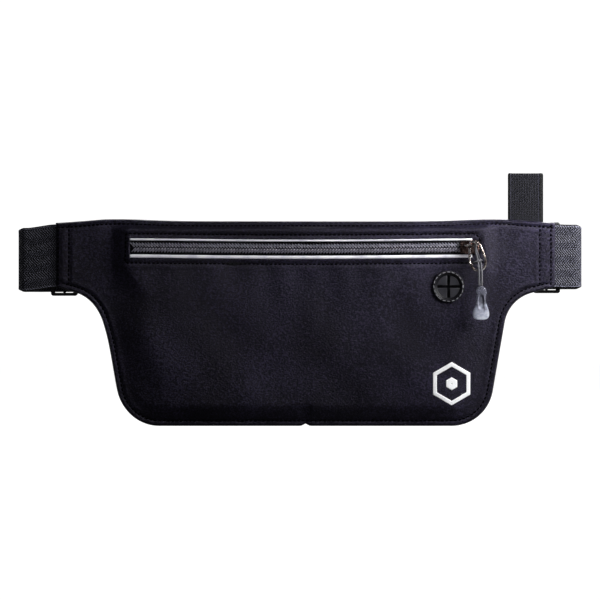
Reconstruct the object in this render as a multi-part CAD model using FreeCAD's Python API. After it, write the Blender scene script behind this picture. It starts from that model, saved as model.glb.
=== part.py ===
import FreeCAD, Part
import math
import os

from FreeCAD import Vector

# Money belt: a flat zipped pouch on an elastic waist strap, shown upright as it is worn.
# Frame: +X to the wearer's left along the belt, +Y towards the wearer, +Z up, millimetres.
# The origin is the middle of the back panel's outer face, at the height of the strap's middle.

# --- pouch outline, right half (the pouch is symmetric about X = 0) ---
WING_END_X = 150.0
WING_TOP_Z = 19.8
TOP_Z = 21.0
TOP_EASE_X = 120.0
WING_BOTTOM_Z = -18.5
ARMPIT = (122.0, -25.7)
ARMPIT_RADIUS = 22.0
BOTTOM_CORNER = (108.8, -102.0)
BOTTOM_CORNER_RADIUS = 25.0
WING_CORNER_RADIUS = 1.5
NOTCH_HALF_WIDTH = 2.6
NOTCH_DEPTH = 1.4

# --- layers through the pouch, from the wearer's side forwards (Y gets smaller) ---
BACK_FACE_Y = 0.0
BACK_INNER_Y = -1.0
SEAM_FACE_Y = -2.4
SHEET_FRONT_Y = -3.4
FRONT_INNER_Y = -6.0
FRONT_FACE_Y = -7.0
SEAM_WIDTH = 2.0

# --- the puffed pocket region of the front panel ---
POCKET_TOP_Z = 19.0
POCKET_TOP_INSET = 2.0
POCKET_TOP_X = 114.0
POCKET_WAIST = (115.0, -34.0)
POCKET_BOTTOM = (104.0, -97.0)
POCKET_SLOPE_INSET = 5.0
CLOTH = 1.0

# --- zip ---
CHAIN_Z = 5.2
WINDOW_X = (-105.3, 104.8)
WINDOW_Z = (1.0, 9.4)
PIPING_X = (-105.3, 99.9)
LOWER_PIPING_Z = (-1.0, 1.0)
UPPER_PIPING_Z = (9.4, 10.6)
PIPING_THICK = 0.6
TAPE_GAP = 1.0
TAPE_WIDTH = 9.8
TAPE_X = (-106.0, 105.6)
TAPE_Y = (-6.0, -5.4)
COIL_Y = (-7.6, -6.0)
COIL_HALF_GAP = 0.05
COIL_REACH = 2.9
COIL_X = (-105.0, 99.0)

# --- slider and pull ---
SLIDER_X = (92.7, 104.1)
SLIDER_NOSE_HALF = 3.9
SLIDER_TAIL_HALF = 3.5
SLIDER_TOP_Y = (-8.7, -7.8)
SLIDER_BOTTOM_Y = (-5.2, -4.3)
FLANGE_THICK = 0.7
FLANGE_END_Y = -6.3
WEDGE_X = (99.6, 103.4)
WEB_HALF = 0.25
CROWN_X = (95.7, 103.0)
CROWN_Y = -12.2
CROWN_Z = 6.2
CROWN_RADIUS = 0.55
RING_WIRE_RADIUS = 0.8
CORD_RADIUS = 0.6
CORD_END_Z = -17.9
TAB_CENTRE_X = 105.0
TAB_TOP_Z = -18.0
TAB_THICK = 3.8

# --- cable port and print ---
PORT_CENTRE = (85.7, -18.4)
PORT_RADIUS = 9.5
PORT_FLAP_RADIUS = 6.95
PORT_BARREL_RADIUS = 7.9
PORT_HOLE_RADIUS = 8.2
PORT_PROUD = 1.2
SLIT_WIDTH = 1.4
SLIT_LENGTH = 12.8
EMBLEM_CENTRE = (87.6, -76.6)
EMBLEM_HALF_WIDTH = 11.2
EMBLEM_HALF_HEIGHT = 13.0
EMBLEM_LINE = 2.3
EMBLEM_THICK = 0.15

# --- elastic strap, 38 mm wide ---
STRAP_HALF_WIDTH = 19.0
STRAP_THICK = 1.2
STRAP_FRONT_Y = (-2.4, -1.2)
STRAP_SEWN_X = 128.0
LEFT_FOLD_X = 168.0
RIGHT_FOLD_X = 161.4
RUN_Y = (5.2, 6.4)
TAIL_Y = (6.7, 7.9)
BUCKLE_BAR_X = 72.0
BUCKLE_BAR_Y = 6.55
BUCKLE_BAR_RADIUS = 1.6
LOOP_WRAP_X = 85.0
ADJUSTER_X = 145.0
LEFT_RUN_DROP = 2.6
RIGHT_RUN_DROP = 1.0

# --- strap adjuster (a three-bar slide) ---
ADJUSTER_HALF_LENGTH = 8.0
ADJUSTER_HALF_HEIGHT = 21.3
ADJUSTER_RAIL = 1.9
ADJUSTER_Y = (3.7, 9.2)
ADJUSTER_BAR_WIDTH = 2.6
ADJUSTER_BAR_RADIUS = 0.8
STRAP_END_RETURN = 9.0

# --- buckle ---
BUCKLE_HALF_HEIGHT = 21.8
BUCKLE_HALF_THICK = 4.5
SOCKET_X = (34.0, 66.0)
SOCKET_WALL = 1.6
PLUG_BASE_X = (52.0, 66.0)
PRONG_PIVOT = (54.5, 15.2)
PRONG_ROOT_RADIUS = 2.3
PRONG_TIP_X = 27.0

# --- hanging loop of narrow elastic ---
LOOP_X = (121.5, 141.9)
LOOP_TOP_Z = 49.8
LOOP_BASE_Z = (8.0, 21.0)
LOOP_PLY = 1.0
LOOP_Y = (0.2, 2.8)

GAP = 0.3


def rounded_wire(points, place):
    """A closed wire through corners (a, b, radius), its corners rounded; place turns (a, b) into 3-D."""
    edges = []
    count = len(points)
    ends = []
    for i in range(count):
        before = Vector(points[i - 1][0], points[i - 1][1], 0)
        here = Vector(points[i][0], points[i][1], 0)
        after = Vector(points[(i + 1) % count][0], points[(i + 1) % count][1], 0)
        radius = points[i][2]
        inward = (before - here).normalize()
        outward = (after - here).normalize()
        turn = math.pi - inward.getAngle(outward)
        if radius <= 0 or turn < 1e-4:
            ends.append((here, here))
            continue
        reach = radius * math.tan(turn / 2)
        start = here + inward * reach
        finish = here + outward * reach
        middle_way = (inward + outward).normalize()
        middle = here + middle_way * (radius / math.cos(turn / 2) - radius)
        arc = Part.Arc(*[place(p.x, p.y) for p in (start, middle, finish)])
        edges.append((i, arc.toShape()))
        ends.append((start, finish))
    ordered = []
    arcs = dict(edges)
    for i in range(count):
        if i in arcs:
            ordered.append(arcs[i])
        leave = ends[i][1]
        arrive = ends[(i + 1) % count][0]
        ordered.append(Part.makeLine(place(leave.x, leave.y), place(arrive.x, arrive.y)))
    return Part.Wire(ordered)


def upright_wire(points, y):
    """A rounded outline standing in the plane Y = y; the corners are (x, z, radius)."""
    return rounded_wire(points, lambda a, b: Vector(a, y, b))


def upright_plate(points, y_front, y_back):
    """The outline's plate between two Y planes."""
    return Part.Face(upright_wire(points, y_front)).extrude(Vector(0, y_back - y_front, 0))


def block(x, y, z):
    """A box between pairs of limits."""
    return Part.makeBox(x[1] - x[0], y[1] - y[0], z[1] - z[0], Vector(x[0], y[0], z[0]))


def through_disc(centre, radius, y_front, y_back):
    """A round disc whose axis is along Y."""
    start = Vector(centre[0], y_front, centre[1])
    return Part.makeCylinder(radius, y_back - y_front, start, Vector(0, 1, 0))


def upright_rod(x, y, radius, half_height):
    """A round bar along Z."""
    return Part.makeCylinder(radius, 2 * half_height, Vector(x, y, -half_height), Vector(0, 0, 1))


def tube(points, radius):
    """A round tube along straight runs joined by tangent arcs as large as the runs allow."""
    last = len(points) - 1
    edges = []
    leave = points[0]
    for i in range(1, last):
        back = points[i - 1] - points[i]
        ahead = points[i + 1] - points[i]
        reach = 0.45 * min(back.Length, ahead.Length)
        inward = Vector(back).normalize()
        outward = Vector(ahead).normalize()
        turn = math.pi - inward.getAngle(outward)
        bend = reach / math.tan(turn / 2)
        middle_way = (inward + outward).normalize()
        middle = points[i] + middle_way * (bend / math.cos(turn / 2) - bend)
        start = points[i] + inward * reach
        finish = points[i] + outward * reach
        edges.append(Part.makeLine(leave, start))
        edges.append(Part.Arc(start, middle, finish).toShape())
        leave = finish
    edges.append(Part.makeLine(leave, points[last]))
    ring = Part.Wire(Part.makeCircle(radius, points[0], points[1] - points[0]))
    sweep = Part.BRepOffsetAPI.MakePipeShell(Part.Wire(edges))
    sweep.add(ring)
    sweep.build()
    sweep.makeSolid()
    return sweep.shape()


def closed_tube(points, radius):
    """A tube round a closed route, as two halves that meet at the middles of two runs."""
    half = len(points) // 2
    first_cut = (points[-1] + points[0]) * 0.5
    second_cut = (points[half - 1] + points[half]) * 0.5
    one = tube([first_cut] + points[:half] + [second_cut], radius)
    other = tube([second_cut] + points[half:] + [first_cut], radius)
    return one.fuse(other).removeSplitter()


def mirrored(points):
    """Corners of the right half, followed by their mirror images in reverse order."""
    return points + [(-x, z, r) for x, z, r in reversed(points)]


def other_side(shape):
    """The same piece on the other side of the belt."""
    return shape.mirror(Vector(0, 0, 0), Vector(1, 0, 0))


def pouch_outline():
    """Corners of the whole pouch: two wings, the deep middle and the small notch at the bottom."""
    right = [
        (TOP_EASE_X, TOP_Z, 60.0),
        (WING_END_X, WING_TOP_Z, WING_CORNER_RADIUS),
        (WING_END_X, WING_BOTTOM_Z, WING_CORNER_RADIUS),
        (*ARMPIT, ARMPIT_RADIUS),
        (*BOTTOM_CORNER, BOTTOM_CORNER_RADIUS),
        (NOTCH_HALF_WIDTH, BOTTOM_CORNER[1], 0),
    ]
    left = [(-x, z, r) for x, z, r in reversed(right)]
    return right + [(0, BOTTOM_CORNER[1] + NOTCH_DEPTH, 0)] + left


def inset_pouch_outline(inset):
    """The pouch outline moved inwards, without the notch, for the seam's inner edge."""
    right = [
        (TOP_EASE_X, TOP_Z - inset, 60.0),
        (WING_END_X - inset, WING_TOP_Z - inset, WING_CORNER_RADIUS),
        (WING_END_X - inset, WING_BOTTOM_Z + inset, WING_CORNER_RADIUS),
        (ARMPIT[0] - 0.6 * inset, ARMPIT[1] + 0.6 * inset, ARMPIT_RADIUS + inset),
        (BOTTOM_CORNER[0] - inset, BOTTOM_CORNER[1] + inset, BOTTOM_CORNER_RADIUS - inset),
    ]
    return mirrored(right)


def pocket_outline(inset, top_inset):
    """The puffed region's outline, moved inwards by inset, and by top_inset along its top."""
    right = [
        (POCKET_TOP_X - inset, POCKET_TOP_Z - top_inset, 4.0),
        (POCKET_WAIST[0] - inset, POCKET_WAIST[1], 30.0),
        (POCKET_BOTTOM[0] - inset, POCKET_BOTTOM[1] + inset, 19.0),
    ]
    return mirrored(right)


def back_panel():
    return upright_plate(pouch_outline(), BACK_INNER_Y, BACK_FACE_Y)


def front_panel():
    """A sheet over the whole outline, sewn down round its edge, that swells over the pocket."""
    sheet = upright_plate(pouch_outline(), SHEET_FRONT_Y, BACK_INNER_Y)
    hollow = upright_plate(inset_pouch_outline(SEAM_WIDTH), SEAM_FACE_Y, BACK_INNER_Y)
    skin = Part.makeLoft(
        [
            upright_wire(pocket_outline(0, 0), SHEET_FRONT_Y + CLOTH / 2),
            upright_wire(pocket_outline(POCKET_SLOPE_INSET, POCKET_TOP_INSET), FRONT_FACE_Y),
        ],
        True,
        True,
    )
    room_front = pocket_outline(POCKET_SLOPE_INSET + CLOTH, POCKET_TOP_INSET + CLOTH)
    room = Part.makeLoft(
        [
            upright_wire(pocket_outline(CLOTH, CLOTH), BACK_INNER_Y),
            upright_wire(room_front, FRONT_INNER_Y),
        ],
        True,
        True,
    )
    window = block(WINDOW_X, (FRONT_FACE_Y - 1, FRONT_INNER_Y + 1), WINDOW_Z)
    port_hole = through_disc(PORT_CENTRE, PORT_HOLE_RADIUS, FRONT_FACE_Y - 1, FRONT_INNER_Y + 1)
    strap_z = (-STRAP_HALF_WIDTH - 0.1, STRAP_HALF_WIDTH + 0.1)
    right_slot = block((STRAP_SEWN_X - 2, WING_END_X + 1), (SEAM_FACE_Y, BACK_INNER_Y), strap_z)
    panel = sheet.cut(hollow).fuse(skin).cut(room)
    for hole in (window, port_hole, right_slot, other_side(right_slot)):
        panel = panel.cut(hole)
    return panel.removeSplitter()


def piping(z):
    """A flat reflective strip on the front panel along the zip."""
    return block(PIPING_X, (FRONT_FACE_Y - PIPING_THICK, FRONT_FACE_Y), z)


def zipper_tape(side):
    """One woven tape, behind the front panel; side is +1 for the upper one."""
    near = CHAIN_Z + side * TAPE_GAP / 2
    far = near + side * TAPE_WIDTH
    return block(TAPE_X, TAPE_Y, (min(near, far), max(near, far)))


def zipper_coil(side):
    """One row of the closed coil, as the bar that holds its turns, bevelled along its outer edge."""
    near = CHAIN_Z + side * COIL_HALF_GAP
    far = near + side * COIL_REACH
    bevel = 0.6
    section = [(near, COIL_Y[1]), (near, COIL_Y[0]), (far - side * bevel, COIL_Y[0])]
    section += [(far, COIL_Y[0] + bevel), (far, COIL_Y[1])]
    corners = [Vector(COIL_X[0], y, z) for z, y in section]
    return Part.Face(Part.makePolygon(corners + corners[:1])).extrude(Vector(COIL_X[1] - COIL_X[0], 0, 0))


def slider_outline():
    """The slider's plate from the front: a wide nose and a narrower tail."""
    tail, nose = SLIDER_X
    return [
        (nose, CHAIN_Z - SLIDER_NOSE_HALF, 1.6),
        (nose, CHAIN_Z + SLIDER_NOSE_HALF, 1.6),
        (nose - 4.0, CHAIN_Z + SLIDER_NOSE_HALF, 3.0),
        (tail, CHAIN_Z + SLIDER_TAIL_HALF, 0.8),
        (tail, CHAIN_Z - SLIDER_TAIL_HALF, 0.8),
        (nose - 4.0, CHAIN_Z - SLIDER_NOSE_HALF, 3.0),
    ]


def slider_body():
    """Two plates joined by a wedge between the coils, with flanges down beside them."""
    top = upright_plate(slider_outline(), *SLIDER_TOP_Y)
    bottom = upright_plate(slider_outline(), *SLIDER_BOTTOM_Y)
    skirt = upright_plate(slider_outline(), SLIDER_TOP_Y[1], FLANGE_END_Y)
    inner_half = SLIDER_TAIL_HALF - FLANGE_THICK + 0.25
    throat_z = (CHAIN_Z - inner_half, CHAIN_Z + inner_half)
    throat = block((SLIDER_X[0] - 1, SLIDER_X[1] + 1), (SLIDER_TOP_Y[1] - 1, FLANGE_END_Y + 1), throat_z)
    flanges = skirt.cut(throat)
    wedge_corners = [
        (WEDGE_X[0], CHAIN_Z, 0),
        ((WEDGE_X[0] + WEDGE_X[1]) / 2, CHAIN_Z + 1.0, 0.4),
        (WEDGE_X[1], CHAIN_Z + 0.6, 0.3),
        (WEDGE_X[1], CHAIN_Z - 0.6, 0.3),
        ((WEDGE_X[0] + WEDGE_X[1]) / 2, CHAIN_Z - 1.0, 0.4),
    ]
    wedge = upright_plate(wedge_corners, SLIDER_TOP_Y[1] - 0.2, FLANGE_END_Y)
    web_z = (CHAIN_Z - WEB_HALF, CHAIN_Z + WEB_HALF)
    web = block((WEDGE_X[0] + 0.8, WEDGE_X[1]), (FLANGE_END_Y - 0.2, SLIDER_BOTTOM_Y[0] + 0.2), web_z)
    return top.fuse([flanges, wedge, web, bottom]).removeSplitter()


def slider_crown():
    """The round arch on the slider that the pull hangs from."""
    left, right = CROWN_X
    bar = Part.makeCylinder(CROWN_RADIUS, right - left, Vector(left, CROWN_Y, CROWN_Z), Vector(1, 0, 0))
    pieces = []
    for x in CROWN_X:
        foot = Vector(x, CROWN_Y, CROWN_Z)
        pieces.append(Part.makeCylinder(CROWN_RADIUS, SLIDER_TOP_Y[0] - CROWN_Y, foot, Vector(0, 1, 0)))
        pieces.append(Part.makeSphere(CROWN_RADIUS, foot))
    return bar.fuse(pieces).removeSplitter()


def from_crown(x, y, z):
    """A point given by its X and by its distance from the crown's axis along Y and Z."""
    return Vector(x, CROWN_Y + y, CROWN_Z + z)


def pull_ring():
    """A bent wire ring: its left leg passes behind the crown, its right leg hangs in front."""
    route = [
        from_crown(98.2, 1.85, -3.0),
        from_crown(98.3, 1.75, 1.6),
        from_crown(100.4, -1.3, 2.35),
        from_crown(103.9, -2.9, 1.5),
        from_crown(105.9, -2.5, -3.0),
        from_crown(108.4, -1.7, -10.6),
        from_crown(106.2, -0.9, -14.8),
        from_crown(101.2, 0.2, -15.0),
        from_crown(98.2, 1.4, -11.0),
    ]
    return closed_tube(route, RING_WIRE_RADIUS)


def pull_cord():
    """A thin braided cord, doubled: up from the tab, round the crown, and back down to the tab."""
    route = [
        from_crown(104.0, -1.6, CORD_END_Z - CROWN_Z),
        from_crown(103.8, -2.2, -19.5),
        from_crown(103.7, -2.6, -15.0),
        from_crown(103.4, -1.9, -10.0),
        from_crown(101.9, -1.45, -4.6),
        from_crown(101.5, -1.35, -0.6),
        from_crown(101.6, -1.0, 1.15),
        from_crown(101.7, 1.0, 1.15),
        from_crown(101.8, 1.3, -0.9),
        from_crown(103.2, 0.7, -5.6),
        from_crown(105.0, -1.4, -10.6),
        from_crown(105.4, -2.6, -15.0),
        from_crown(105.5, -2.2, -19.5),
        from_crown(105.4, -1.6, CORD_END_Z - CROWN_Z),
    ]
    return tube(route, CORD_RADIUS)


def pull_tab():
    """A moulded grip: a round head, a narrow waist, a wide foot and a shallow oval recess."""
    centre_y = CROWN_Y - 1.6
    right = [
        (3.55, TAB_TOP_Z, 3.5),
        (3.6, TAB_TOP_Z - 3.9, 1.0),
        (3.05, TAB_TOP_Z - 5.6, 2.0),
        (3.1, TAB_TOP_Z - 10.0, 7.0),
        (5.0, TAB_TOP_Z - 15.4, 3.5),
        (4.5, TAB_TOP_Z - 20.4, 3.2),
    ]
    corners = mirrored(right)
    corners = [(x + TAB_CENTRE_X, z, r) for x, z, r in corners]
    body = upright_plate(corners, centre_y - TAB_THICK / 2, centre_y + TAB_THICK / 2)
    long_edges = [e for e in body.Edges if abs(e.BoundBox.YLength) < 1e-6]
    body = body.makeFillet(0.7, long_edges)
    recess_half = 1.6
    recess = [(-recess_half, -23.4), (recess_half, -23.4), (recess_half, -32.0), (-recess_half, -32.0)]
    recess = [(x + TAB_CENTRE_X, z, recess_half - 0.02) for x, z in recess]
    return body.cut(upright_plate(recess, centre_y - TAB_THICK, centre_y - TAB_THICK / 2 + 0.6))


def cable_port():
    """A rubber grommet: a raised rim, a barrel through the cloth and a flap cut in a cross."""
    front = FRONT_FACE_Y - PORT_PROUD
    rim = through_disc(PORT_CENTRE, PORT_RADIUS, front, FRONT_FACE_Y)
    rim = rim.makeFillet(0.5, [e for e in rim.Edges if abs(e.BoundBox.YMax - front) < 1e-6 and e.Closed])
    bowl = through_disc(PORT_CENTRE, PORT_FLAP_RADIUS, front - 1, FRONT_FACE_Y)
    barrel = through_disc(PORT_CENTRE, PORT_BARREL_RADIUS, FRONT_FACE_Y, FRONT_INNER_Y)
    bore = through_disc(PORT_CENTRE, PORT_FLAP_RADIUS, FRONT_FACE_Y, FRONT_INNER_Y)
    flap = through_disc(PORT_CENTRE, PORT_FLAP_RADIUS + 0.2, FRONT_FACE_Y - 0.4, FRONT_FACE_Y + 0.4)
    x, z = PORT_CENTRE
    through = (FRONT_FACE_Y - 2, FRONT_FACE_Y + 2)
    reach, half = SLIT_LENGTH / 2, SLIT_WIDTH / 2
    flap = flap.cut(block((x - reach, x + reach), through, (z - half, z + half)))
    flap = flap.cut(block((x - half, x + half), through, (z - reach, z + reach)))
    return rim.cut(bowl).fuse([barrel.cut(bore), flap]).removeSplitter()


def cable_port_backing():
    """The ring inside the pocket that holds the grommet in the cloth."""
    ring = through_disc(PORT_CENTRE, PORT_RADIUS, FRONT_INNER_Y, FRONT_INNER_Y + CLOTH)
    return ring.cut(through_disc(PORT_CENTRE, PORT_FLAP_RADIUS, FRONT_INNER_Y, FRONT_INNER_Y + CLOTH))


def hexagon(scale, y_front, y_back):
    """A plain six-sided plate with a point at the top."""
    half_width, half_height = EMBLEM_HALF_WIDTH * scale, EMBLEM_HALF_HEIGHT * scale
    x, z = EMBLEM_CENTRE
    corners = [(0, 1), (1, 0.5), (1, -0.5), (0, -1), (-1, -0.5), (-1, 0.5)]
    corners = [(x + a * half_width, z + b * half_height, 0) for a, b in corners]
    return upright_plate(corners, y_front, y_back)


def printed_emblem():
    """A generic white print: a hexagonal line round a small solid hexagon."""
    layers = (FRONT_FACE_Y - EMBLEM_THICK, FRONT_FACE_Y)
    inner = 1 - EMBLEM_LINE / EMBLEM_HALF_WIDTH
    return Part.makeCompound([hexagon(1, *layers).cut(hexagon(inner, *layers)), hexagon(0.4, *layers)])


def strap_front(fold_x):
    """The strap from its seam in the wing out to the fold."""
    return block((STRAP_SEWN_X, fold_x), STRAP_FRONT_Y, (-STRAP_HALF_WIDTH, STRAP_HALF_WIDTH))


def strap_fold(fold_x):
    """The half turn that takes the strap behind the pouch."""
    y = (STRAP_FRONT_Y[1] + RUN_Y[0]) / 2
    inner = (RUN_Y[0] - STRAP_FRONT_Y[1]) / 2
    turn = upright_rod(fold_x, y, inner + STRAP_THICK, STRAP_HALF_WIDTH)
    turn = turn.cut(upright_rod(fold_x, y, inner, STRAP_HALF_WIDTH))
    side = (fold_x, fold_x + 10)
    return turn.common(block(side, (y - 10, y + 10), (-STRAP_HALF_WIDTH, STRAP_HALF_WIDTH)))


def strap_back(fold_x):
    """The strap's run behind the pouch, from the fold to the loop round the buckle's bar."""
    return block((LOOP_WRAP_X, fold_x), RUN_Y, (-STRAP_HALF_WIDTH, STRAP_HALF_WIDTH))


def teardrop(radius, tip_x, tip_half):
    """A prism round the buckle bar that narrows to a flat end at tip_x."""
    bar = Vector(BUCKLE_BAR_X, BUCKLE_BAR_Y, 0)
    away = math.hypot(tip_x - bar.x, tip_half)
    swing = math.atan2(tip_half, tip_x - bar.x) + math.acos(radius / away)
    touch_x = bar.x + radius * math.cos(swing)
    touch_y = radius * math.sin(swing)
    flank = [
        Vector(tip_x, bar.y + tip_half, -STRAP_HALF_WIDTH),
        Vector(touch_x, bar.y + touch_y, -STRAP_HALF_WIDTH),
        Vector(touch_x, bar.y - touch_y, -STRAP_HALF_WIDTH),
        Vector(tip_x, bar.y - tip_half, -STRAP_HALF_WIDTH),
    ]
    quad = Part.Face(Part.makePolygon(flank + flank[:1])).extrude(Vector(0, 0, 2 * STRAP_HALF_WIDTH))
    return quad.fuse(upright_rod(bar.x, bar.y, radius, STRAP_HALF_WIDTH)).removeSplitter()


def strap_loop():
    """The strap's turn round the buckle's bar, where the two layers close up again."""
    inner_radius = BUCKLE_BAR_RADIUS + 0.1
    outer = teardrop(inner_radius + STRAP_THICK, LOOP_WRAP_X, (TAIL_Y[1] - RUN_Y[0]) / 2)
    return outer.cut(teardrop(inner_radius, LOOP_WRAP_X, (TAIL_Y[0] - RUN_Y[1]) / 2))


def strap_tail():
    """The doubled layer from the loop back to the adjuster."""
    return block((LOOP_WRAP_X, ADJUSTER_X - 1), TAIL_Y, (-STRAP_HALF_WIDTH, STRAP_HALF_WIDTH))


def adjuster_bar_y():
    """The height of the middle bar, which the strap's end is sewn round."""
    return TAIL_Y[1] + 0.05 + ADJUSTER_BAR_RADIUS


def strap_end():
    """The strap's end, sewn round the adjuster's middle bar and stitched back on itself."""
    y = adjuster_bar_y()
    inner = ADJUSTER_BAR_RADIUS + 0.05
    half = STRAP_HALF_WIDTH
    turn = upright_rod(ADJUSTER_X, y, inner + STRAP_THICK, half).cut(upright_rod(ADJUSTER_X, y, inner, half))
    outer_half = block((ADJUSTER_X, ADJUSTER_X + 10), (y - 10, y + 10), (-half, half))
    turn = turn.common(outer_half)
    back = (y + inner, y + inner + STRAP_THICK)
    returned = block((ADJUSTER_X - STRAP_END_RETURN, ADJUSTER_X), back, (-half, half))
    under = block((ADJUSTER_X - 1, ADJUSTER_X), TAIL_Y, (-half, half))
    return turn.fuse([returned, under]).removeSplitter()


def adjuster():
    """A three-bar slide: two low end bars under the strap and a round middle bar over it."""
    low_x, high_x = ADJUSTER_X - ADJUSTER_HALF_LENGTH, ADJUSTER_X + ADJUSTER_HALF_LENGTH
    rail = [
        (low_x, ADJUSTER_HALF_HEIGHT - ADJUSTER_RAIL, 0),
        (low_x, ADJUSTER_HALF_HEIGHT, 1.6),
        (high_x, ADJUSTER_HALF_HEIGHT, 1.6),
        (high_x, ADJUSTER_HALF_HEIGHT - ADJUSTER_RAIL, 0),
    ]
    upper_rail = upright_plate(rail, *ADJUSTER_Y)
    lower_rail = upright_plate([(x, -z, r) for x, z, r in rail], *ADJUSTER_Y)
    inside = ADJUSTER_HALF_HEIGHT - ADJUSTER_RAIL
    bar_y = (ADJUSTER_Y[0], RUN_Y[0] - GAP)
    pieces = [lower_rail, upright_rod(ADJUSTER_X, adjuster_bar_y(), ADJUSTER_BAR_RADIUS, inside + 0.2)]
    for start in (low_x, high_x - ADJUSTER_BAR_WIDTH):
        pieces.append(block((start, start + ADJUSTER_BAR_WIDTH), bar_y, (-inside - 0.2, inside + 0.2)))
    return upper_rail.fuse(pieces).removeSplitter()


def webbing_bar():
    """The round bar and two arms that carry the strap on a buckle half."""
    bar = upright_rod(BUCKLE_BAR_X, BUCKLE_BAR_Y, BUCKLE_BAR_RADIUS, BUCKLE_HALF_HEIGHT)
    arm_y = (BUCKLE_BAR_Y - BUCKLE_BAR_RADIUS - 0.6, BUCKLE_BAR_Y + BUCKLE_BAR_RADIUS + 0.6)
    arm_x = (SOCKET_X[1] - 2, BUCKLE_BAR_X + BUCKLE_BAR_RADIUS + 0.6)
    inside = STRAP_HALF_WIDTH + 0.8
    upper = block(arm_x, arm_y, (inside, BUCKLE_HALF_HEIGHT))
    lower = block(arm_x, arm_y, (-BUCKLE_HALF_HEIGHT, -inside))
    return bar.fuse([upper, lower])


def buckle_block(x, half_height, half_thick, corner):
    """A flat block of a buckle half, rounded at its corners and along its edges."""
    corners = [
        (x[0], half_height, corner),
        (x[1], half_height, corner),
        (x[1], -half_height, corner),
        (x[0], -half_height, corner),
    ]
    body = upright_plate(corners, BUCKLE_BAR_Y - half_thick, BUCKLE_BAR_Y + half_thick)
    return body.makeFillet(0.8, [e for e in body.Edges if e.BoundBox.YLength < 1e-6])


def buckle_socket():
    """The hollow half: an open mouth for the plug and a window in each side for its prongs."""
    body = buckle_block(SOCKET_X, BUCKLE_HALF_HEIGHT, BUCKLE_HALF_THICK, 4.0)
    y = (BUCKLE_BAR_Y - BUCKLE_HALF_THICK + SOCKET_WALL, BUCKLE_BAR_Y + BUCKLE_HALF_THICK - SOCKET_WALL)
    inside = BUCKLE_HALF_HEIGHT - SOCKET_WALL
    body = body.cut(block((SOCKET_X[0] - 1, SOCKET_X[1] - 4), y, (-inside, inside)))
    window_x = (SOCKET_X[0] + 9, SOCKET_X[0] + 21)
    past = BUCKLE_HALF_HEIGHT + 1
    return body.cut(block(window_x, y, (-past, past))).fuse(webbing_bar()).removeSplitter()


def buckle_plug():
    """The solid half: a base with a centre tongue, and a round seat for each prong's root."""
    base = buckle_block(PLUG_BASE_X, BUCKLE_HALF_HEIGHT - 1, BUCKLE_HALF_THICK - 0.7, 3.0)
    tongue_y = (BUCKLE_BAR_Y - 1.8, BUCKLE_BAR_Y + 1.8)
    tongue = block((PRONG_TIP_X + 6, PLUG_BASE_X[0] + 1), tongue_y, (-3.4, 3.4))
    plug = base.fuse([tongue, webbing_bar()])
    x, z = PRONG_PIVOT
    seat_y = (BUCKLE_BAR_Y - 2.3 - GAP, BUCKLE_BAR_Y + 2.3 + GAP)
    for side in (1, -1):
        seat = through_disc((x, side * z), PRONG_ROOT_RADIUS + GAP, *seat_y)
        mouth = [
            (PLUG_BASE_X[0] - 1, side * z - 4.4, 0),
            (PLUG_BASE_X[0] - 1, side * z + 4.4, 0),
            (x, side * z + 2.2, 0),
            (x, side * z - 2.2, 0),
        ]
        plug = plug.cut(seat).cut(upright_plate(mouth, *seat_y))
    return plug.removeSplitter()


def buckle_prong(side):
    """A springy prong with a round root and a barbed tip; side is +1 for the upper one."""
    x, z = PRONG_PIVOT
    corners = [
        (x, z + 1.7, 0),
        (46.0, z + 2.0, 4.0),
        (41.0, z + 5.4, 0.6),
        (36.0, z + 6.0, 1.0),
        (PRONG_TIP_X, z - 1.0, 1.2),
        (PRONG_TIP_X + 1.5, z - 3.8, 1.2),
        (42.0, z - 1.6, 6.0),
        (x, z - 1.7, 0),
    ]
    corners = [(a, side * b, r) for a, b, r in corners]
    y = (BUCKLE_BAR_Y - 2.3, BUCKLE_BAR_Y + 2.3)
    root = through_disc((x, side * z), PRONG_ROOT_RADIUS, *y)
    return upright_plate(corners, *y).fuse(root).removeSplitter()


def hang_loop_base():
    """The two layers of narrow elastic sewn to the back, below the loop."""
    between = (LOOP_Y[0] + LOOP_PLY, LOOP_Y[1] - LOOP_PLY)
    return block(LOOP_X, LOOP_Y, LOOP_BASE_Z).cut(block(LOOP_X, between, LOOP_BASE_Z))


def hang_loop():
    """Narrow elastic doubled into a loop that stands above the pouch's top edge."""
    bottom = LOOP_BASE_Z[1] + 0.6
    radius = (LOOP_Y[1] - LOOP_Y[0]) / 2
    middle_y = (LOOP_Y[1] + LOOP_Y[0]) / 2
    crest = LOOP_TOP_Z - radius
    length = LOOP_X[1] - LOOP_X[0]
    start = Vector(LOOP_X[0], middle_y, crest)
    along = Vector(1, 0, 0)
    outer = block(LOOP_X, LOOP_Y, (bottom, crest)).fuse(Part.makeCylinder(radius, length, start, along))
    gap_y = (LOOP_Y[0] + LOOP_PLY, LOOP_Y[1] - LOOP_PLY)
    inner = block(LOOP_X, gap_y, (bottom, crest))
    inner = inner.fuse(Part.makeCylinder(radius - LOOP_PLY, length, start, along))
    return outer.cut(inner).removeSplitter()


def lowered(shape, drop):
    """A piece of the run behind the pouch, which hangs a little lower than the wings."""
    moved = shape.copy()
    moved.translate(Vector(0, 0, -drop))
    return moved


def strap_pieces(fold_x, drop):
    """One side's strap and adjuster, built on the right; the run behind the pouch hangs lower."""
    return {
        "strap_front": strap_front(fold_x),
        "strap_fold": lowered(strap_fold(fold_x), drop / 2),
        "strap_back": lowered(strap_back(fold_x), drop),
        "strap_loop": lowered(strap_loop(), drop),
        "strap_tail": lowered(strap_tail(), drop),
        "strap_end": lowered(strap_end(), drop),
        "adjuster": lowered(adjuster(), drop),
    }


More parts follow.
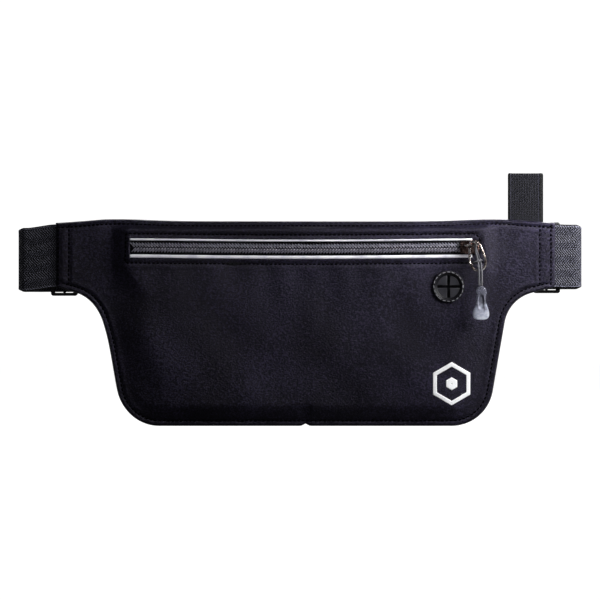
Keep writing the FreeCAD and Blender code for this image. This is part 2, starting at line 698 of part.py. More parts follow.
def build():
    """Every node of the belt by name."""
    nodes = {
        "back_panel": back_panel(),
        "front_panel": front_panel(),
        "reflective_piping_upper": piping(UPPER_PIPING_Z),
        "reflective_piping_lower": piping(LOWER_PIPING_Z),
        "zipper_tape_upper": zipper_tape(1),
        "zipper_tape_lower": zipper_tape(-1),
        "zipper_coil_upper": zipper_coil(1),
        "zipper_coil_lower": zipper_coil(-1),
        "slider_body": slider_body(),
        "slider_crown": slider_crown(),
        "pull_ring": pull_ring(),
        "pull_cord": pull_cord(),
        "pull_tab": pull_tab(),
        "cable_port": cable_port(),
        "cable_port_backing": cable_port_backing(),
        "printed_emblem": printed_emblem(),
        "buckle_socket": lowered(other_side(buckle_socket()), LEFT_RUN_DROP),
        "buckle_plug": lowered(buckle_plug(), RIGHT_RUN_DROP),
        "buckle_prong_upper": lowered(buckle_prong(1), RIGHT_RUN_DROP),
        "buckle_prong_lower": lowered(buckle_prong(-1), RIGHT_RUN_DROP),
        "hang_loop_base": hang_loop_base(),
        "hang_loop": hang_loop(),
    }
    for name, shape in strap_pieces(RIGHT_FOLD_X, RIGHT_RUN_DROP).items():
        nodes["right_" + name] = shape
    for name, shape in strap_pieces(LEFT_FOLD_X, LEFT_RUN_DROP).items():
        nodes["left_" + name] = other_side(shape)
    return nodes


os.makedirs("parts", exist_ok=True)
for node, shape in build().items():
    if not shape.isValid() or shape.Volume <= 0:
        raise ValueError(node + " is not a sound solid")
    shape.exportStep("parts/" + node + ".step")
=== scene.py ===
import math
import bmesh
import bpy
import numpy as np
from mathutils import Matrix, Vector


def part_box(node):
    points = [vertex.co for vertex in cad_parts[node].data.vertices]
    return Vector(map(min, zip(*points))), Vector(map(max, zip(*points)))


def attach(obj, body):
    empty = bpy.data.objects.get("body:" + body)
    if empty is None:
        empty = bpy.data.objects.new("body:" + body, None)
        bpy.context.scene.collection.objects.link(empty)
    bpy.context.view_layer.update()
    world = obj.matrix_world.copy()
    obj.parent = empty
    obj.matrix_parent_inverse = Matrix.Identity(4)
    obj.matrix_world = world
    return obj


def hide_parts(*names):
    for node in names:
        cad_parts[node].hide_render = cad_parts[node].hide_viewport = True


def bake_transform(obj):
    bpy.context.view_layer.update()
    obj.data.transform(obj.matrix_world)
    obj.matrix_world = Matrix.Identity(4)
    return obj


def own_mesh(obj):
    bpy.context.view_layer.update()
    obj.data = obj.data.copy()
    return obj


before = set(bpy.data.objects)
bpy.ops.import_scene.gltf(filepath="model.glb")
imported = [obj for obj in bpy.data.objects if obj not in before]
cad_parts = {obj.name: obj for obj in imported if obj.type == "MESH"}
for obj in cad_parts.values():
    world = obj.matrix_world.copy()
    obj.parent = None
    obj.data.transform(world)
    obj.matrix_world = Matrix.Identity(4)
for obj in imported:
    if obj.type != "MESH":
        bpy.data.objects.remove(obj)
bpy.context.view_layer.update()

# A money belt: a flat zipped pouch of coated cloth on elastic webbing.
# Lengths are in millimetres up to the moment a mesh is made; meshes are in metres.
# The frame is the CAD's: X along the belt, Y towards the wearer, Z up.

MM = 0.001


# ---------------------------------------------------------------- sizes

def node_box(name):
    """A CAD node's lowest and highest corners in millimetres."""
    low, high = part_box(name)
    return np.array(low) / MM, np.array(high) / MM


PANEL_LOW, PANEL_HIGH = node_box("front_panel")
WING_END_X = PANEL_HIGH[0]
TOP_Z = PANEL_HIGH[2]
BOTTOM_Z = PANEL_LOW[2]
FRONT_Y = PANEL_LOW[1]
WING_TOP_Z = 19.8
TOP_EASE_X = 120.0
WING_BOTTOM_Z = -18.5
ARMPIT = (122.0, -25.7)
ARMPIT_RADIUS = 22.0
BOTTOM_CORNER_X = 108.8
BOTTOM_CORNER_RADIUS = 25.0
WING_CORNER_RADIUS = 1.5
NOTCH_HALF_WIDTH = 2.6
NOTCH_DEPTH = 1.4
SHEET_Y = -3.4
SEAM_MEET_Y = -1.0
EDGE_ROLL = 1.2

CHAIN_Z = 5.2
WINDOW_Z = (node_box("reflective_piping_lower")[1][2], node_box("reflective_piping_upper")[0][2])
WINDOW_X = (-105.3, 104.8)
SPLIT_Z = -4.1
ZIP_SAG = 0.8

PORT_LOW, PORT_HIGH = node_box("cable_port")
PORT_X = (PORT_LOW[0] + PORT_HIGH[0]) / 2
PORT_Z = (PORT_LOW[2] + PORT_HIGH[2]) / 2
PORT_HOLE_RADIUS = 8.2

CROWN_LOW, CROWN_HIGH = node_box("slider_crown")
CROWN_Z = (CROWN_LOW[2] + CROWN_HIGH[2]) / 2
CROWN_Y = CROWN_LOW[1] + 0.55


# ---------------------------------------------------------------- mesh making

def new_piece(name, points, faces, uv=None, smooth=True):
    """A mesh piece from points in millimetres and faces; uv holds one pair for each point."""
    mesh = bpy.data.meshes.new(name)
    faces = faces.tolist() if isinstance(faces, np.ndarray) else faces
    mesh.from_pydata((np.asarray(points, float) * MM).tolist(), [], faces)
    if uv is not None:
        layer = mesh.uv_layers.new(name="weave")
        corners = np.empty(len(mesh.loops), int)
        mesh.loops.foreach_get("vertex_index", corners)
        layer.data.foreach_set("uv", np.asarray(uv, float)[corners].ravel())
    mesh.polygons.foreach_set("use_smooth", np.full(len(mesh.polygons), smooth))
    mesh.validate()
    mesh.update()
    piece = bpy.data.objects.new(name, mesh)
    bpy.context.scene.collection.objects.link(piece)
    return piece


def grid_faces(rows, columns, wrap_rows=False, wrap_columns=False):
    """The quads of a grid of points stored row by row, wrapped round where asked."""
    r = np.arange(rows if wrap_rows else rows - 1)
    c = np.arange(columns if wrap_columns else columns - 1)
    r, c = np.meshgrid(r, c, indexing="ij")
    down, right = (r + 1) % rows, (c + 1) % columns
    quads = [r * columns + c, r * columns + right, down * columns + right, down * columns + c]
    return np.stack([q.ravel() for q in quads], axis=1)


def face_outwards(piece):
    """Turns a closed piece's faces outwards after its doubles are merged."""
    work = bmesh.new()
    work.from_mesh(piece.data)
    bmesh.ops.remove_doubles(work, verts=work.verts, dist=1e-7)
    bmesh.ops.recalc_face_normals(work, faces=work.faces)
    work.to_mesh(piece.data)
    work.free()
    return piece


def thicken(piece, thickness, offset=-1.0):
    """Gives a sheet its thickness, in millimetres, behind its face."""
    wall = piece.modifiers.new("wall", "SOLIDIFY")
    wall.thickness = thickness * MM
    wall.offset = offset
    return piece


def smoothstep(t):
    """0 below 0, 1 above 1, and 3t^2 - 2t^3 between."""
    t = np.clip(t, 0, 1)
    return t * t * (3 - 2 * t)


def unit(vectors):
    """Vectors scaled to length 1."""
    return vectors / np.maximum(np.linalg.norm(vectors, axis=-1, keepdims=True), 1e-12)


def path_frames(path, closed=False):
    """Unit tangent, side and up vectors along a path, with as little turning as can be."""
    if closed:
        tangent = unit(np.roll(path, -1, 0) - np.roll(path, 1, 0))
    else:
        tangent = unit(np.gradient(path, axis=0))
    side = np.cross(tangent[0], [0.0, 1.0, 0.12])
    sides = []
    for t in tangent:
        side = side - t * np.dot(side, t)
        side = side / np.linalg.norm(side)
        sides.append(side)
    sides = np.array(sides)
    return tangent, sides, np.cross(tangent, sides)


def tube_points(path, radius, around, closed=False):
    """Rings of points at a radius round a path, and their (turn, length) pairs."""
    _, side, up = path_frames(path, closed)
    angle = np.linspace(0, 2 * math.pi, around + 1)[:-1]
    ring = np.cos(angle)[None, :, None] * side[:, None] + np.sin(angle)[None, :, None] * up[:, None]
    radius = np.broadcast_to(np.asarray(radius, float), len(path))
    points = path[:, None] + radius[:, None, None] * ring
    length = np.concatenate([[0], np.cumsum(np.linalg.norm(np.diff(path, axis=0), axis=1))])
    uv = np.stack(np.broadcast_arrays(angle[None] / (2 * math.pi), length[:, None]), -1)
    return points, uv


def tube(name, path, radius, around=12, closed=False):
    """A round tube carried along a path, closed on itself or capped with a fan at each end."""
    points, uv = tube_points(path, radius, around, closed)
    count = len(path)
    faces = grid_faces(count, around, wrap_rows=closed, wrap_columns=True).tolist()
    flat, flat_uv = points.reshape(-1, 3), uv.reshape(-1, 2)
    if not closed:
        flat = np.concatenate([flat, path[:1], path[-1:]])
        flat_uv = np.concatenate([flat_uv, flat_uv[:1], flat_uv[-1:]])
        first, last = len(flat) - 2, len(flat) - 1
        end = (count - 1) * around
        faces += [[first, (i + 1) % around, i] for i in range(around)]
        faces += [[last, end + i, end + (i + 1) % around] for i in range(around)]
    return face_outwards(new_piece(name, flat, faces, flat_uv))


def resample(path, pitch, closed=False):
    """Points evenly spaced along a polyline, about a pitch apart, with the tangent at each."""
    path = np.asarray(path, float)
    length = np.concatenate([[0], np.cumsum(np.linalg.norm(np.diff(path, axis=0), axis=1))])
    count = max(2, int(round(length[-1] / pitch)) + 1)
    at = np.linspace(0, length[-1], count)
    if closed:
        at = at[:-1]
    points = np.stack([np.interp(at, length, path[:, k]) for k in range(path.shape[1])], -1)
    return points, unit(np.gradient(points, axis=0))


def rounded_path(corners, step=0.8):
    """A polyline through corners (a, b, radius), each corner an arc that is tangent to both its sides."""
    corners = [np.array(c, float) for c in corners]
    points = [corners[0][:2]]
    for before, here, after in zip(corners, corners[1:], corners[2:]):
        inward, outward = unit(before[:2] - here[:2]), unit(after[:2] - here[:2])
        turn = math.pi - math.acos(np.clip(inward @ outward, -1, 1))
        radius = here[2]
        reach = radius * math.tan(turn / 2)
        centre = here[:2] + unit(inward + outward) * radius / math.cos(turn / 2)
        start = here[:2] + inward * reach - centre
        count = max(2, int(radius * turn / step))
        spin = np.linspace(0, turn, count) * np.sign(np.cross(-inward, outward))
        c, s = np.cos(spin), np.sin(spin)
        arc = np.stack([start[0] * c - start[1] * s, start[0] * s + start[1] * c], -1) + centre
        points.extend(arc)
    points.append(corners[-1][:2])
    return np.array(points)


# ---------------------------------------------------------------- the pouch's outline and its grid

def lower_edge():
    """The outline's right half below the wing: wing end, armpit, side, bottom corner, bottom middle."""
    corners = [
        (WING_END_X, 0.0, 0),
        (WING_END_X, WING_BOTTOM_Z, WING_CORNER_RADIUS),
        (*ARMPIT, ARMPIT_RADIUS),
        (BOTTOM_CORNER_X, BOTTOM_Z, BOTTOM_CORNER_RADIUS),
        (0.0, BOTTOM_Z, 0),
    ]
    edge, _ = resample(rounded_path(corners), 0.5)
    notch = NOTCH_DEPTH * np.clip(1 - edge[:, 0] / NOTCH_HALF_WIDTH, 0, 1)
    low = edge[:, 1] < BOTTOM_Z + 1
    edge[:, 1] += np.where(low, notch, 0)
    return edge


def top_edge_z(x):
    """The top edge: level, a low swell beside the zip's ends, then a straight fall to the wing's end."""
    ease = np.clip((np.abs(x) - TOP_EASE_X) / (WING_END_X - TOP_EASE_X), 0, 1)
    swell = 1.2 * np.exp(-(((np.abs(x) - 112.0) / 25.0) ** 2))
    return TOP_Z - (TOP_Z - WING_TOP_Z) * ease + swell


def whole_outline():
    """The closed outline as points (x, z), for measuring distances to the edge."""
    right = lower_edge()
    left = right[::-1] * [-1, 1]
    top_x = np.linspace(-WING_END_X, WING_END_X, 60)
    top = np.stack([top_x, top_edge_z(top_x)], -1)
    return resample(np.concatenate([right, left, top, right[:1]]), 0.4)[0]


def distance_to(points, line):
    """The distance from each point to a polyline: to its nearest vertex's two runs, in slices."""
    flat = points.reshape(-1, 2)
    parts = []
    for part in np.array_split(flat, max(1, len(flat) // 3000)):
        nearest = ((line**2).sum(1) - 2 * part @ line.T).argmin(1)
        here = line[nearest]
        before, after = line[np.maximum(nearest - 1, 0)], line[np.minimum(nearest + 1, len(line) - 1)]
        parts.append(np.minimum(run_distance(part, before, here), run_distance(part, here, after)))
    return np.concatenate(parts).reshape(points.shape[:-1])


def run_distance(point, start, end):
    """The distance from each point to its own straight run."""
    run = end - start
    share = ((point - start) * run).sum(-1) / np.maximum((run * run).sum(-1), 1e-12)
    return np.linalg.norm(point - start - np.clip(share, 0, 1)[:, None] * run, axis=-1)


def sagged(points):
    """Points (x, z) with the zip and its rows hanging lower towards the middle, along a smooth arch."""
    x, z = points[..., 0], points[..., 1]
    dip = ZIP_SAG * np.clip(1 - (x / 108.0) ** 2, 0, 1) ** 1.5
    fade = smoothstep((TOP_Z - z) / 7.0) * smoothstep((z + 50.0) / 40.0)
    return np.stack([x, z - dip * fade], -1)


EDGE = lower_edge()
OUTLINE = whole_outline()


def pouch_grid(column_pitch=1.3, low_rows=78):
    """Grid points (x, z) over the outline.

    Each column drops straight from the top edge to SPLIT_Z, then runs in a straight line to its own
    point on the lower edge. Wing columns are vertical; the others fan out evenly along the lower edge.
    """
    below = EDGE[EDGE[:, 1] < WING_BOTTOM_Z + WING_CORNER_RADIUS + 0.01]
    foot, _ = resample(below, column_pitch)
    foot[0] = below[0]
    armpit_end = np.argmax(foot[:, 1] < -39.0)
    head_x = foot[:, 0].copy()
    inner = len(foot) - armpit_end
    head_x[armpit_end:] = np.linspace(foot[armpit_end, 0], 0, inner)
    foot = np.concatenate([foot[:-1] * [-1, 1], foot[::-1]])
    head_x = np.concatenate([-head_x[:-1], head_x[::-1]])
    for x in WINDOW_X:
        head_x[np.argmin(np.abs(head_x - x))] = x
    steps = [0, 0.25, 0.6, 1.1, 1.9, 2.6, 3.0, 3.4, 4.4, 5.6, 6.8, 7.2, 7.6, 8.0, 9.2, 10.2, 11.0]
    crest = TOP_Z - np.array(steps)
    window = np.linspace(WINDOW_Z[1], WINDOW_Z[0], 8)
    under = np.array([0.5, -0.4, -1.4, -2.6, -3.6])
    heights = np.concatenate([crest, window, under, [SPLIT_Z]])
    follow = smoothstep((heights - 11.0) / 8.0)
    high_z = heights[:, None] + follow[:, None] * (top_edge_z(head_x) - TOP_Z)[None]
    high_x = np.broadcast_to(head_x, high_z.shape)
    share = np.linspace(0, 1, low_rows)[1:]
    near_edge = np.array([0.30, 0.7, 1.2, 1.9, 2.7, 3.3, 3.9]) / (SPLIT_Z - BOTTOM_Z)
    share = np.unique(np.concatenate([share[share < 1 - near_edge[-1] - 0.004], 1 - near_edge, [1.0]]))
    head = np.stack([head_x, np.full_like(head_x, SPLIT_Z)], -1)
    low = head[None] + share[:, None, None] * (foot - head)[None]
    return np.concatenate([np.stack([high_x, high_z], -1), low])


def side_x(z):
    """The pouch's half width at a height, from its leaning side line."""
    lean = (ARMPIT[0] - BOTTOM_CORNER_X) / (ARMPIT[1] - BOTTOM_Z)
    return np.minimum(BOTTOM_CORNER_X + lean * (z - BOTTOM_Z), 118.0)


def fullness(x, z, near):
    """How far the cloth stands off the seams: 0 along the edges and on the wings, 1 over the pocket."""
    slope = 11.5 + 17.0 * smoothstep((-z - 6.0) / 22.0)
    across = smoothstep((side_x(z) - 1.5 - np.abs(x)) / slope)
    up = np.maximum(smoothstep((near - 1.0) / 12.0), smoothstep((z + 12.0) / 8.0))
    down = smoothstep((TOP_Z - 1.0 - z) / 4.5)
    return across * up * down


def wing_hollows(x, z):
    """The soft hollows where the wings leave the pouch: one upright dip on each side, fading downwards."""
    right = np.exp(-(((x - 121.5 - 0.25 * (z - 10)) / 4.2) ** 2)) * smoothstep((z + 8) / 16)
    left = np.exp(-(((x + 126.0 - 0.2 * (z - 10)) / 5.0) ** 2)) * smoothstep((z + 4) / 16)
    return 0.9 * right - 0.5 * left


def soft_waves(x, z):
    """Slow undulations of the cloth, as a sum of a few long sine waves."""
    wave = 0.42 * np.sin(0.043 * x + 0.031 * z + 0.8)
    wave += 0.34 * np.sin(0.091 * x - 0.052 * z + 2.1)
    wave += 0.20 * np.sin(0.11 * z + 0.05 * x) + 0.12 * np.sin(0.17 * x + 0.14 * z)
    return wave


def zip_ripples(x, z):
    """Small folds that hang from the stitch row under the zip and fade out downwards."""
    drop = np.clip(SPLIT_Z - z, 0, None)
    fold = np.sin(0.31 * x + 0.9 * np.sin(0.05 * x)) + 0.6 * np.sin(0.17 * x + 1.3)
    return 0.34 * fold * np.exp(-drop / 20.0) * smoothstep(drop / 4.0)


def stitch_rows():
    """Every row of topstitching on the front, as polylines of (x, z)."""
    hem_x = np.linspace(-1, 1, 300) * (WING_END_X - 2.0)
    hem = np.stack([hem_x, top_edge_z(hem_x) - 3.0], -1)
    frame_row = [
        (107.0, SPLIT_Z, 0),
        (-107.9, SPLIT_Z, 0.8),
        (-107.9, 13.4, 0.8),
        (103.8, 13.4, 5.0),
        (107.6, SPLIT_Z + 1.5, 0),
    ]
    rows = [hem, sagged(resample(rounded_path(frame_row), 0.8)[0]), inset_edge(3.3)]
    z = np.linspace(WING_TOP_Z - 1.8, WING_BOTTOM_Z + 2.0, 40)
    wing_x = np.array([WING_END_X - 2.7, WING_END_X - 9.3, 1.6 - WING_END_X, 8.1 - WING_END_X])
    return rows + [np.stack([np.full_like(z, x), z], -1) for x in wing_x]


def inset_edge(inset):
    """The lower edge of the whole pouch moved inwards along its own normal."""
    right = EDGE[(EDGE[:, 1] < WING_BOTTOM_Z + 0.3)].copy()
    right[:, 1] = np.where(right[:, 0] < NOTCH_HALF_WIDTH + 1, BOTTOM_Z, right[:, 1])
    tangent = unit(np.gradient(right, axis=0))
    inward = np.stack([tangent[:, 1], -tangent[:, 0]], -1)
    line = (right + inward * inset)[8:]
    return np.concatenate([line * [-1, 1], line[::-1]])


FRONT_ROWS = stitch_rows()


def stitch_dents(points):
    """The shallow valleys that the thread pulls into the cloth, each a bell curve across its row."""
    near = np.min([distance_to(points, resample(row, 0.8)[0]) for row in FRONT_ROWS], axis=0)
    return 0.42 * np.exp(-((near / 0.8) ** 2)) - 0.12 * np.exp(-(((near - 2.2) / 1.1) ** 2))


def edge_puckers(x, z, near_edge):
    """Short ripples across the edge row, strongest between the stitches and the edge."""
    along = x + 1.3 * z
    ripple = np.sin(2 * math.pi * along / 3.1) + 0.7 * np.sin(2 * math.pi * along / 7.3 + 1.0)
    return 0.07 * ripple * smoothstep(near_edge / 1.0) * np.exp(-(near_edge / 5.0) ** 2)


def roll(distance, radius):
    """How far a rolled edge falls back: a quarter circle over the last radius before the edge."""
    t = np.clip(1 - distance / radius, 0, 1)
    return 1 - np.sqrt(np.clip(1 - t * t, 0, 1))


def front_depth(points):
    """The front cloth's Y at points (x, z)."""
    x, z = points[..., 0], points[..., 1]
    near = distance_to(points, OUTLINE)
    full = fullness(x, z, near)
    y = SHEET_Y + (FRONT_Y - SHEET_Y) * full
    y -= soft_waves(x, z) * (0.15 + 0.85 * full)
    y -= zip_ripples(x, z) * full
    y += wing_hollows(x, z)
    y += stitch_dents(points) + edge_puckers(x, z, near)
    y += (SEAM_MEET_Y - SHEET_Y) * roll(near, EDGE_ROLL)
    return y


def back_depth(points):
    """The back cloth's Y at points (x, z): nearly flat, rolled in at the edge."""
    x, z = points[..., 0], points[..., 1]
    near = distance_to(points, OUTLINE)
    row = distance_to(points, resample(inset_edge(3.3), 0.8)[0])
    y = 0.12 * soft_waves(x, z) - 0.25 * np.exp(-((row / 0.9) ** 2)) - 0.05
    y -= edge_puckers(x, z, near)
    return y + (SEAM_MEET_Y - y) * roll(near, EDGE_ROLL)


def leaned(x, z):
    """The plan's x with the left side fuller: a bell curve under the wing and a low rise down the side."""
    under_wing = 2.4 * np.exp(-(((z + 28.0) / 15.0) ** 2))
    down_side = 0.7 * smoothstep((-z - 20.0) / 20.0) * smoothstep((z + 95.0) / 20.0)
    return x - (under_wing + down_side) * smoothstep((x + 150.0) / 20.0) * smoothstep((-x - 60.0) / 30.0)


class Cloth:
    """A cloth's grid of points, which other pieces can ask for its depth."""

    def __init__(self, plan, depth):
        self.plan = plan
        self.depth = depth

    def depth_at(self, points):
        """The depth at points (x, z), weighted by closeness over the four nearest grid points."""
        plan, depth = self.plan.reshape(-1, 2), self.depth.ravel()
        found = []
        for part in np.array_split(points, max(1, len(points) // 200)):
            square = (part**2).sum(1)[:, None] + (plan**2).sum(1) - 2 * part @ plan.T
            nearest = np.argpartition(square, 4, axis=1)[:, :4]
            weight = 1 / (np.abs(np.take_along_axis(square, nearest, 1)) + 1e-4)
            found.append((weight * depth[nearest]).sum(1) / weight.sum(1))
        return np.concatenate(found)

    def points(self):
        """The grid's points in space."""
        x, z = self.plan[..., 0], self.plan[..., 1]
        return np.stack([leaned(x, z), self.depth, z], -1)


def make_front(plan):
    """The front cloth, with the zip's window and the port's hole left open."""
    faces = grid_faces(*plan.shape[:2])
    middle = plan.reshape(-1, 2)[faces].mean(1)
    in_window = (middle[:, 0] > WINDOW_X[0]) & (middle[:, 0] < WINDOW_X[1])
    in_window &= (middle[:, 1] > WINDOW_Z[0]) & (middle[:, 1] < WINDOW_Z[1])
    in_port = np.hypot(middle[:, 0] - PORT_X, middle[:, 1] - PORT_Z) < PORT_HOLE_RADIUS
    hung = sagged(plan)
    cloth = Cloth(hung, front_depth(hung))
    open_faces = faces[~(in_window | in_port)][:, ::-1]
    piece = new_piece("front_cloth", cloth.points().reshape(-1, 3), open_faces, plan.reshape(-1, 2))
    return cloth, drop_loose(piece)


def drop_loose(piece):
    """Removes the points that no face uses."""
    work = bmesh.new()
    work.from_mesh(piece.data)
    bmesh.ops.delete(work, geom=[v for v in work.verts if not v.link_faces], context="VERTS")
    work.to_mesh(piece.data)
    work.free()
    return piece


def make_back(plan):
    """The back cloth over the whole outline."""
    cloth = Cloth(plan, back_depth(plan))
    faces = grid_faces(*plan.shape[:2])
    piece = new_piece("back_cloth", cloth.points().reshape(-1, 3), faces, plan.reshape(-1, 2))
    return cloth, piece


# ---------------------------------------------------------------- thread

def bead_shape(length, width, height, around=8, along=7):
    """A low rounded stitch about its middle: an ellipsoid squared off a little along its length."""
    t = np.linspace(-math.pi / 2, math.pi / 2, along)
    a = np.linspace(0, 2 * math.pi, around + 1)[:-1]
    reach = np.sign(np.sin(t)) * np.abs(np.sin(t)) ** 0.8 * length / 2
    girth = np.cos(t) ** 0.7
    along_axis = np.broadcast_to(reach[:, None], (along, around))
    side_axis = girth[:, None] * np.cos(a)[None] * width / 2
    up_axis = girth[:, None] * np.sin(a)[None] * height
    points = np.stack([along_axis, side_axis, up_axis], -1).reshape(-1, 3)
    return points, grid_faces(along, around, wrap_columns=True)


def scatter(name, shape, faces, places, forward, upward):
    """Copies of one small shape set at places, each turned by its forward and upward directions."""
    forward = unit(forward)
    side = unit(np.cross(upward, forward))
    upward = np.cross(forward, side)
    points = (
        places[:, None]
        + shape[None, :, :1] * forward[:, None]
        + shape[None, :, 1:2] * side[:, None]
        + shape[None, :, 2:] * upward[:, None]
    )
    step = len(shape)
    all_faces = (faces[None] + step * np.arange(len(places))[:, None, None]).reshape(-1, 4)
    return face_outwards(new_piece(name, points.reshape(-1, 3), all_faces))


def thread_rows(name, rows, cloth, out, pitch=2.6, length=1.8, width=1.0, height=0.3):
    """Lockstitches laid on a cloth along rows of (x, z); out is -1 on the front and 1 on the back."""
    shape, faces = bead_shape(length, width, height)
    places, headings = [], []
    for row in rows:
        spots, along = resample(row, pitch)
        ahead = cloth.depth_at(spots + along * 1.0)
        behind = cloth.depth_at(spots - along * 1.0)
        depth = cloth.depth_at(spots) + out * 0.04
        places.append(np.stack([leaned(spots[:, 0], spots[:, 1]), depth, spots[:, 1]], -1))
        headings.append(np.stack([along[:, 0], (ahead - behind) / 2.0, along[:, 1]], -1))
    places, headings = np.concatenate(places), np.concatenate(headings)
    upward = np.broadcast_to([0.0, float(out), 0.0], places.shape)
    return scatter(name, shape, faces, places, headings, upward)


# ---------------------------------------------------------------- materials

class Paint:
    """A material with a Principled shader and short ways to add pattern nodes."""

    def __init__(self, name, colour, roughness, metallic=0.0, specular=0.5, **settings):
        self.material = bpy.data.materials.new(name)
        self.material.use_nodes = True
        self.nodes = self.material.node_tree.nodes
        self.links = self.material.node_tree.links
        self.shader = self.nodes["Principled BSDF"]
        self.shader.inputs["Base Color"].default_value = (*colour, 1.0)
        self.shader.inputs["Roughness"].default_value = roughness
        self.shader.inputs["Metallic"].default_value = metallic
        self.shader.inputs["Specular IOR Level"].default_value = specular
        for socket, value in settings.items():
            self.shader.inputs[socket.replace("_", " ")].default_value = value
        self.coordinates = self.nodes.new("ShaderNodeTexCoord")

    def place(self, scale, source="Object"):
        """Coordinates scaled; for a source of UV the units are millimetres."""
        mapping = self.nodes.new("ShaderNodeMapping")
        mapping.inputs["Scale"].default_value = scale
        self.links.new(self.coordinates.outputs[source], mapping.inputs["Vector"])
        return mapping.outputs["Vector"]

    def noise(self, size, detail=3.0, source="Object", stretch=(1, 1, 1)):
        """Noise whose blotches are about a size in metres, or in millimetres on UV."""
        node = self.nodes.new("ShaderNodeTexNoise")
        node.inputs["Scale"].default_value = 1.0
        node.inputs["Detail"].default_value = detail
        scale = tuple(s / size for s in stretch)
        self.links.new(self.place(scale, source), node.inputs["Vector"])
        return node.outputs["Fac"]

    def wave(self, pitch, direction="X"):
        """Sine bands with a pitch in metres."""
        node = self.nodes.new("ShaderNodeTexWave")
        node.bands_direction = direction
        node.inputs["Scale"].default_value = math.pi / 10 / pitch
        self.links.new(self.place((2, 2, 2)), node.inputs["Vector"])
        return node.outputs["Fac"]

    def sums(self, operation, first, second, third=None):
        """A Math node over sockets or numbers."""
        node = self.nodes.new("ShaderNodeMath")
        node.operation = operation
        for socket, value in zip(node.inputs, (first, second, third)):
            if value is None:
                continue
            if isinstance(value, (int, float)):
                socket.default_value = value
            else:
                self.links.new(value, socket)
        return node.outputs["Value"]

    def ramp(self, factor, stops):
        """A colour ramp over a factor; stops are (place, colour)."""
        node = self.nodes.new("ShaderNodeValToRGB")
        ramp = node.color_ramp
        while len(ramp.elements) < len(stops):
            ramp.elements.new(0.5)
        for element, (place, colour) in zip(ramp.elements, stops):
            element.position = place
            element.color = (*colour, 1.0)
        self.links.new(factor, node.inputs["Fac"])
        return node.outputs["Color"]

    def range(self, factor, low, high, lowest=0.0, highest=1.0):
        """A factor mapped from one range to another."""
        node = self.nodes.new("ShaderNodeMapRange")
        node.inputs["From Min"].default_value = lowest
        node.inputs["From Max"].default_value = highest
        node.inputs["To Min"].default_value = low
        node.inputs["To Max"].default_value = high
        self.links.new(factor, node.inputs["Value"])
        return node.outputs["Result"]

    def colour(self, factor, stops):
        """Lets a pattern colour the surface."""
        self.links.new(self.ramp(factor, stops), self.shader.inputs["Base Color"])

    def rough(self, factor, low, high):
        """Lets a pattern vary the roughness."""
        self.links.new(self.range(factor, low, high), self.shader.inputs["Roughness"])

    def bump(self, *layers):
        """Adds bump layers, each (height, depth in millimetres)."""
        normal = None
        for height, depth in layers:
            node = self.nodes.new("ShaderNodeBump")
            node.inputs["Strength"].default_value = 1.0
            node.inputs["Distance"].default_value = depth * MM
            self.links.new(height, node.inputs["Height"])
            if normal is not None:
                self.links.new(normal, node.inputs["Normal"])
            normal = node.outputs["Normal"]
        self.links.new(normal, self.shader.inputs["Normal"])


def shade(colour, factor):
    """A colour made lighter or darker."""
    return tuple(min(1.0, c * factor) for c in colour)


def coated_cloth(name, colour, sheen):
    """Smooth coated stretch cloth: a fine plain weave, faint slubs and slow changes of tone."""
    paint = Paint(name, colour, 0.42, specular=0.30, Sheen_Weight=sheen, Sheen_Roughness=0.45)
    paint.shader.inputs["Sheen Tint"].default_value = (0.62, 0.56, 0.9, 1.0)
    paint.shader.inputs["Specular Tint"].default_value = (0.8, 0.74, 1.0, 1.0)
    warp = paint.wave(0.00042)
    weft = paint.wave(0.00042, "Z")
    weave = paint.sums("MULTIPLY", warp, weft)
    slub = paint.noise(0.0010, 4.0, stretch=(0.85, 1, 1.1))
    tone = paint.noise(0.045, 3.0)
    mixed = paint.sums("MULTIPLY_ADD", tone, 0.35, paint.sums("MULTIPLY", slub, 0.65))
    paint.colour(mixed, [(0.40, shade(colour, 0.15)), (0.5, colour), (0.60, shade(colour, 4.5))])
    paint.rough(slub, 0.34, 0.52)
    paint.bump((weave, 0.05), (slub, 0.24))
    return paint.material


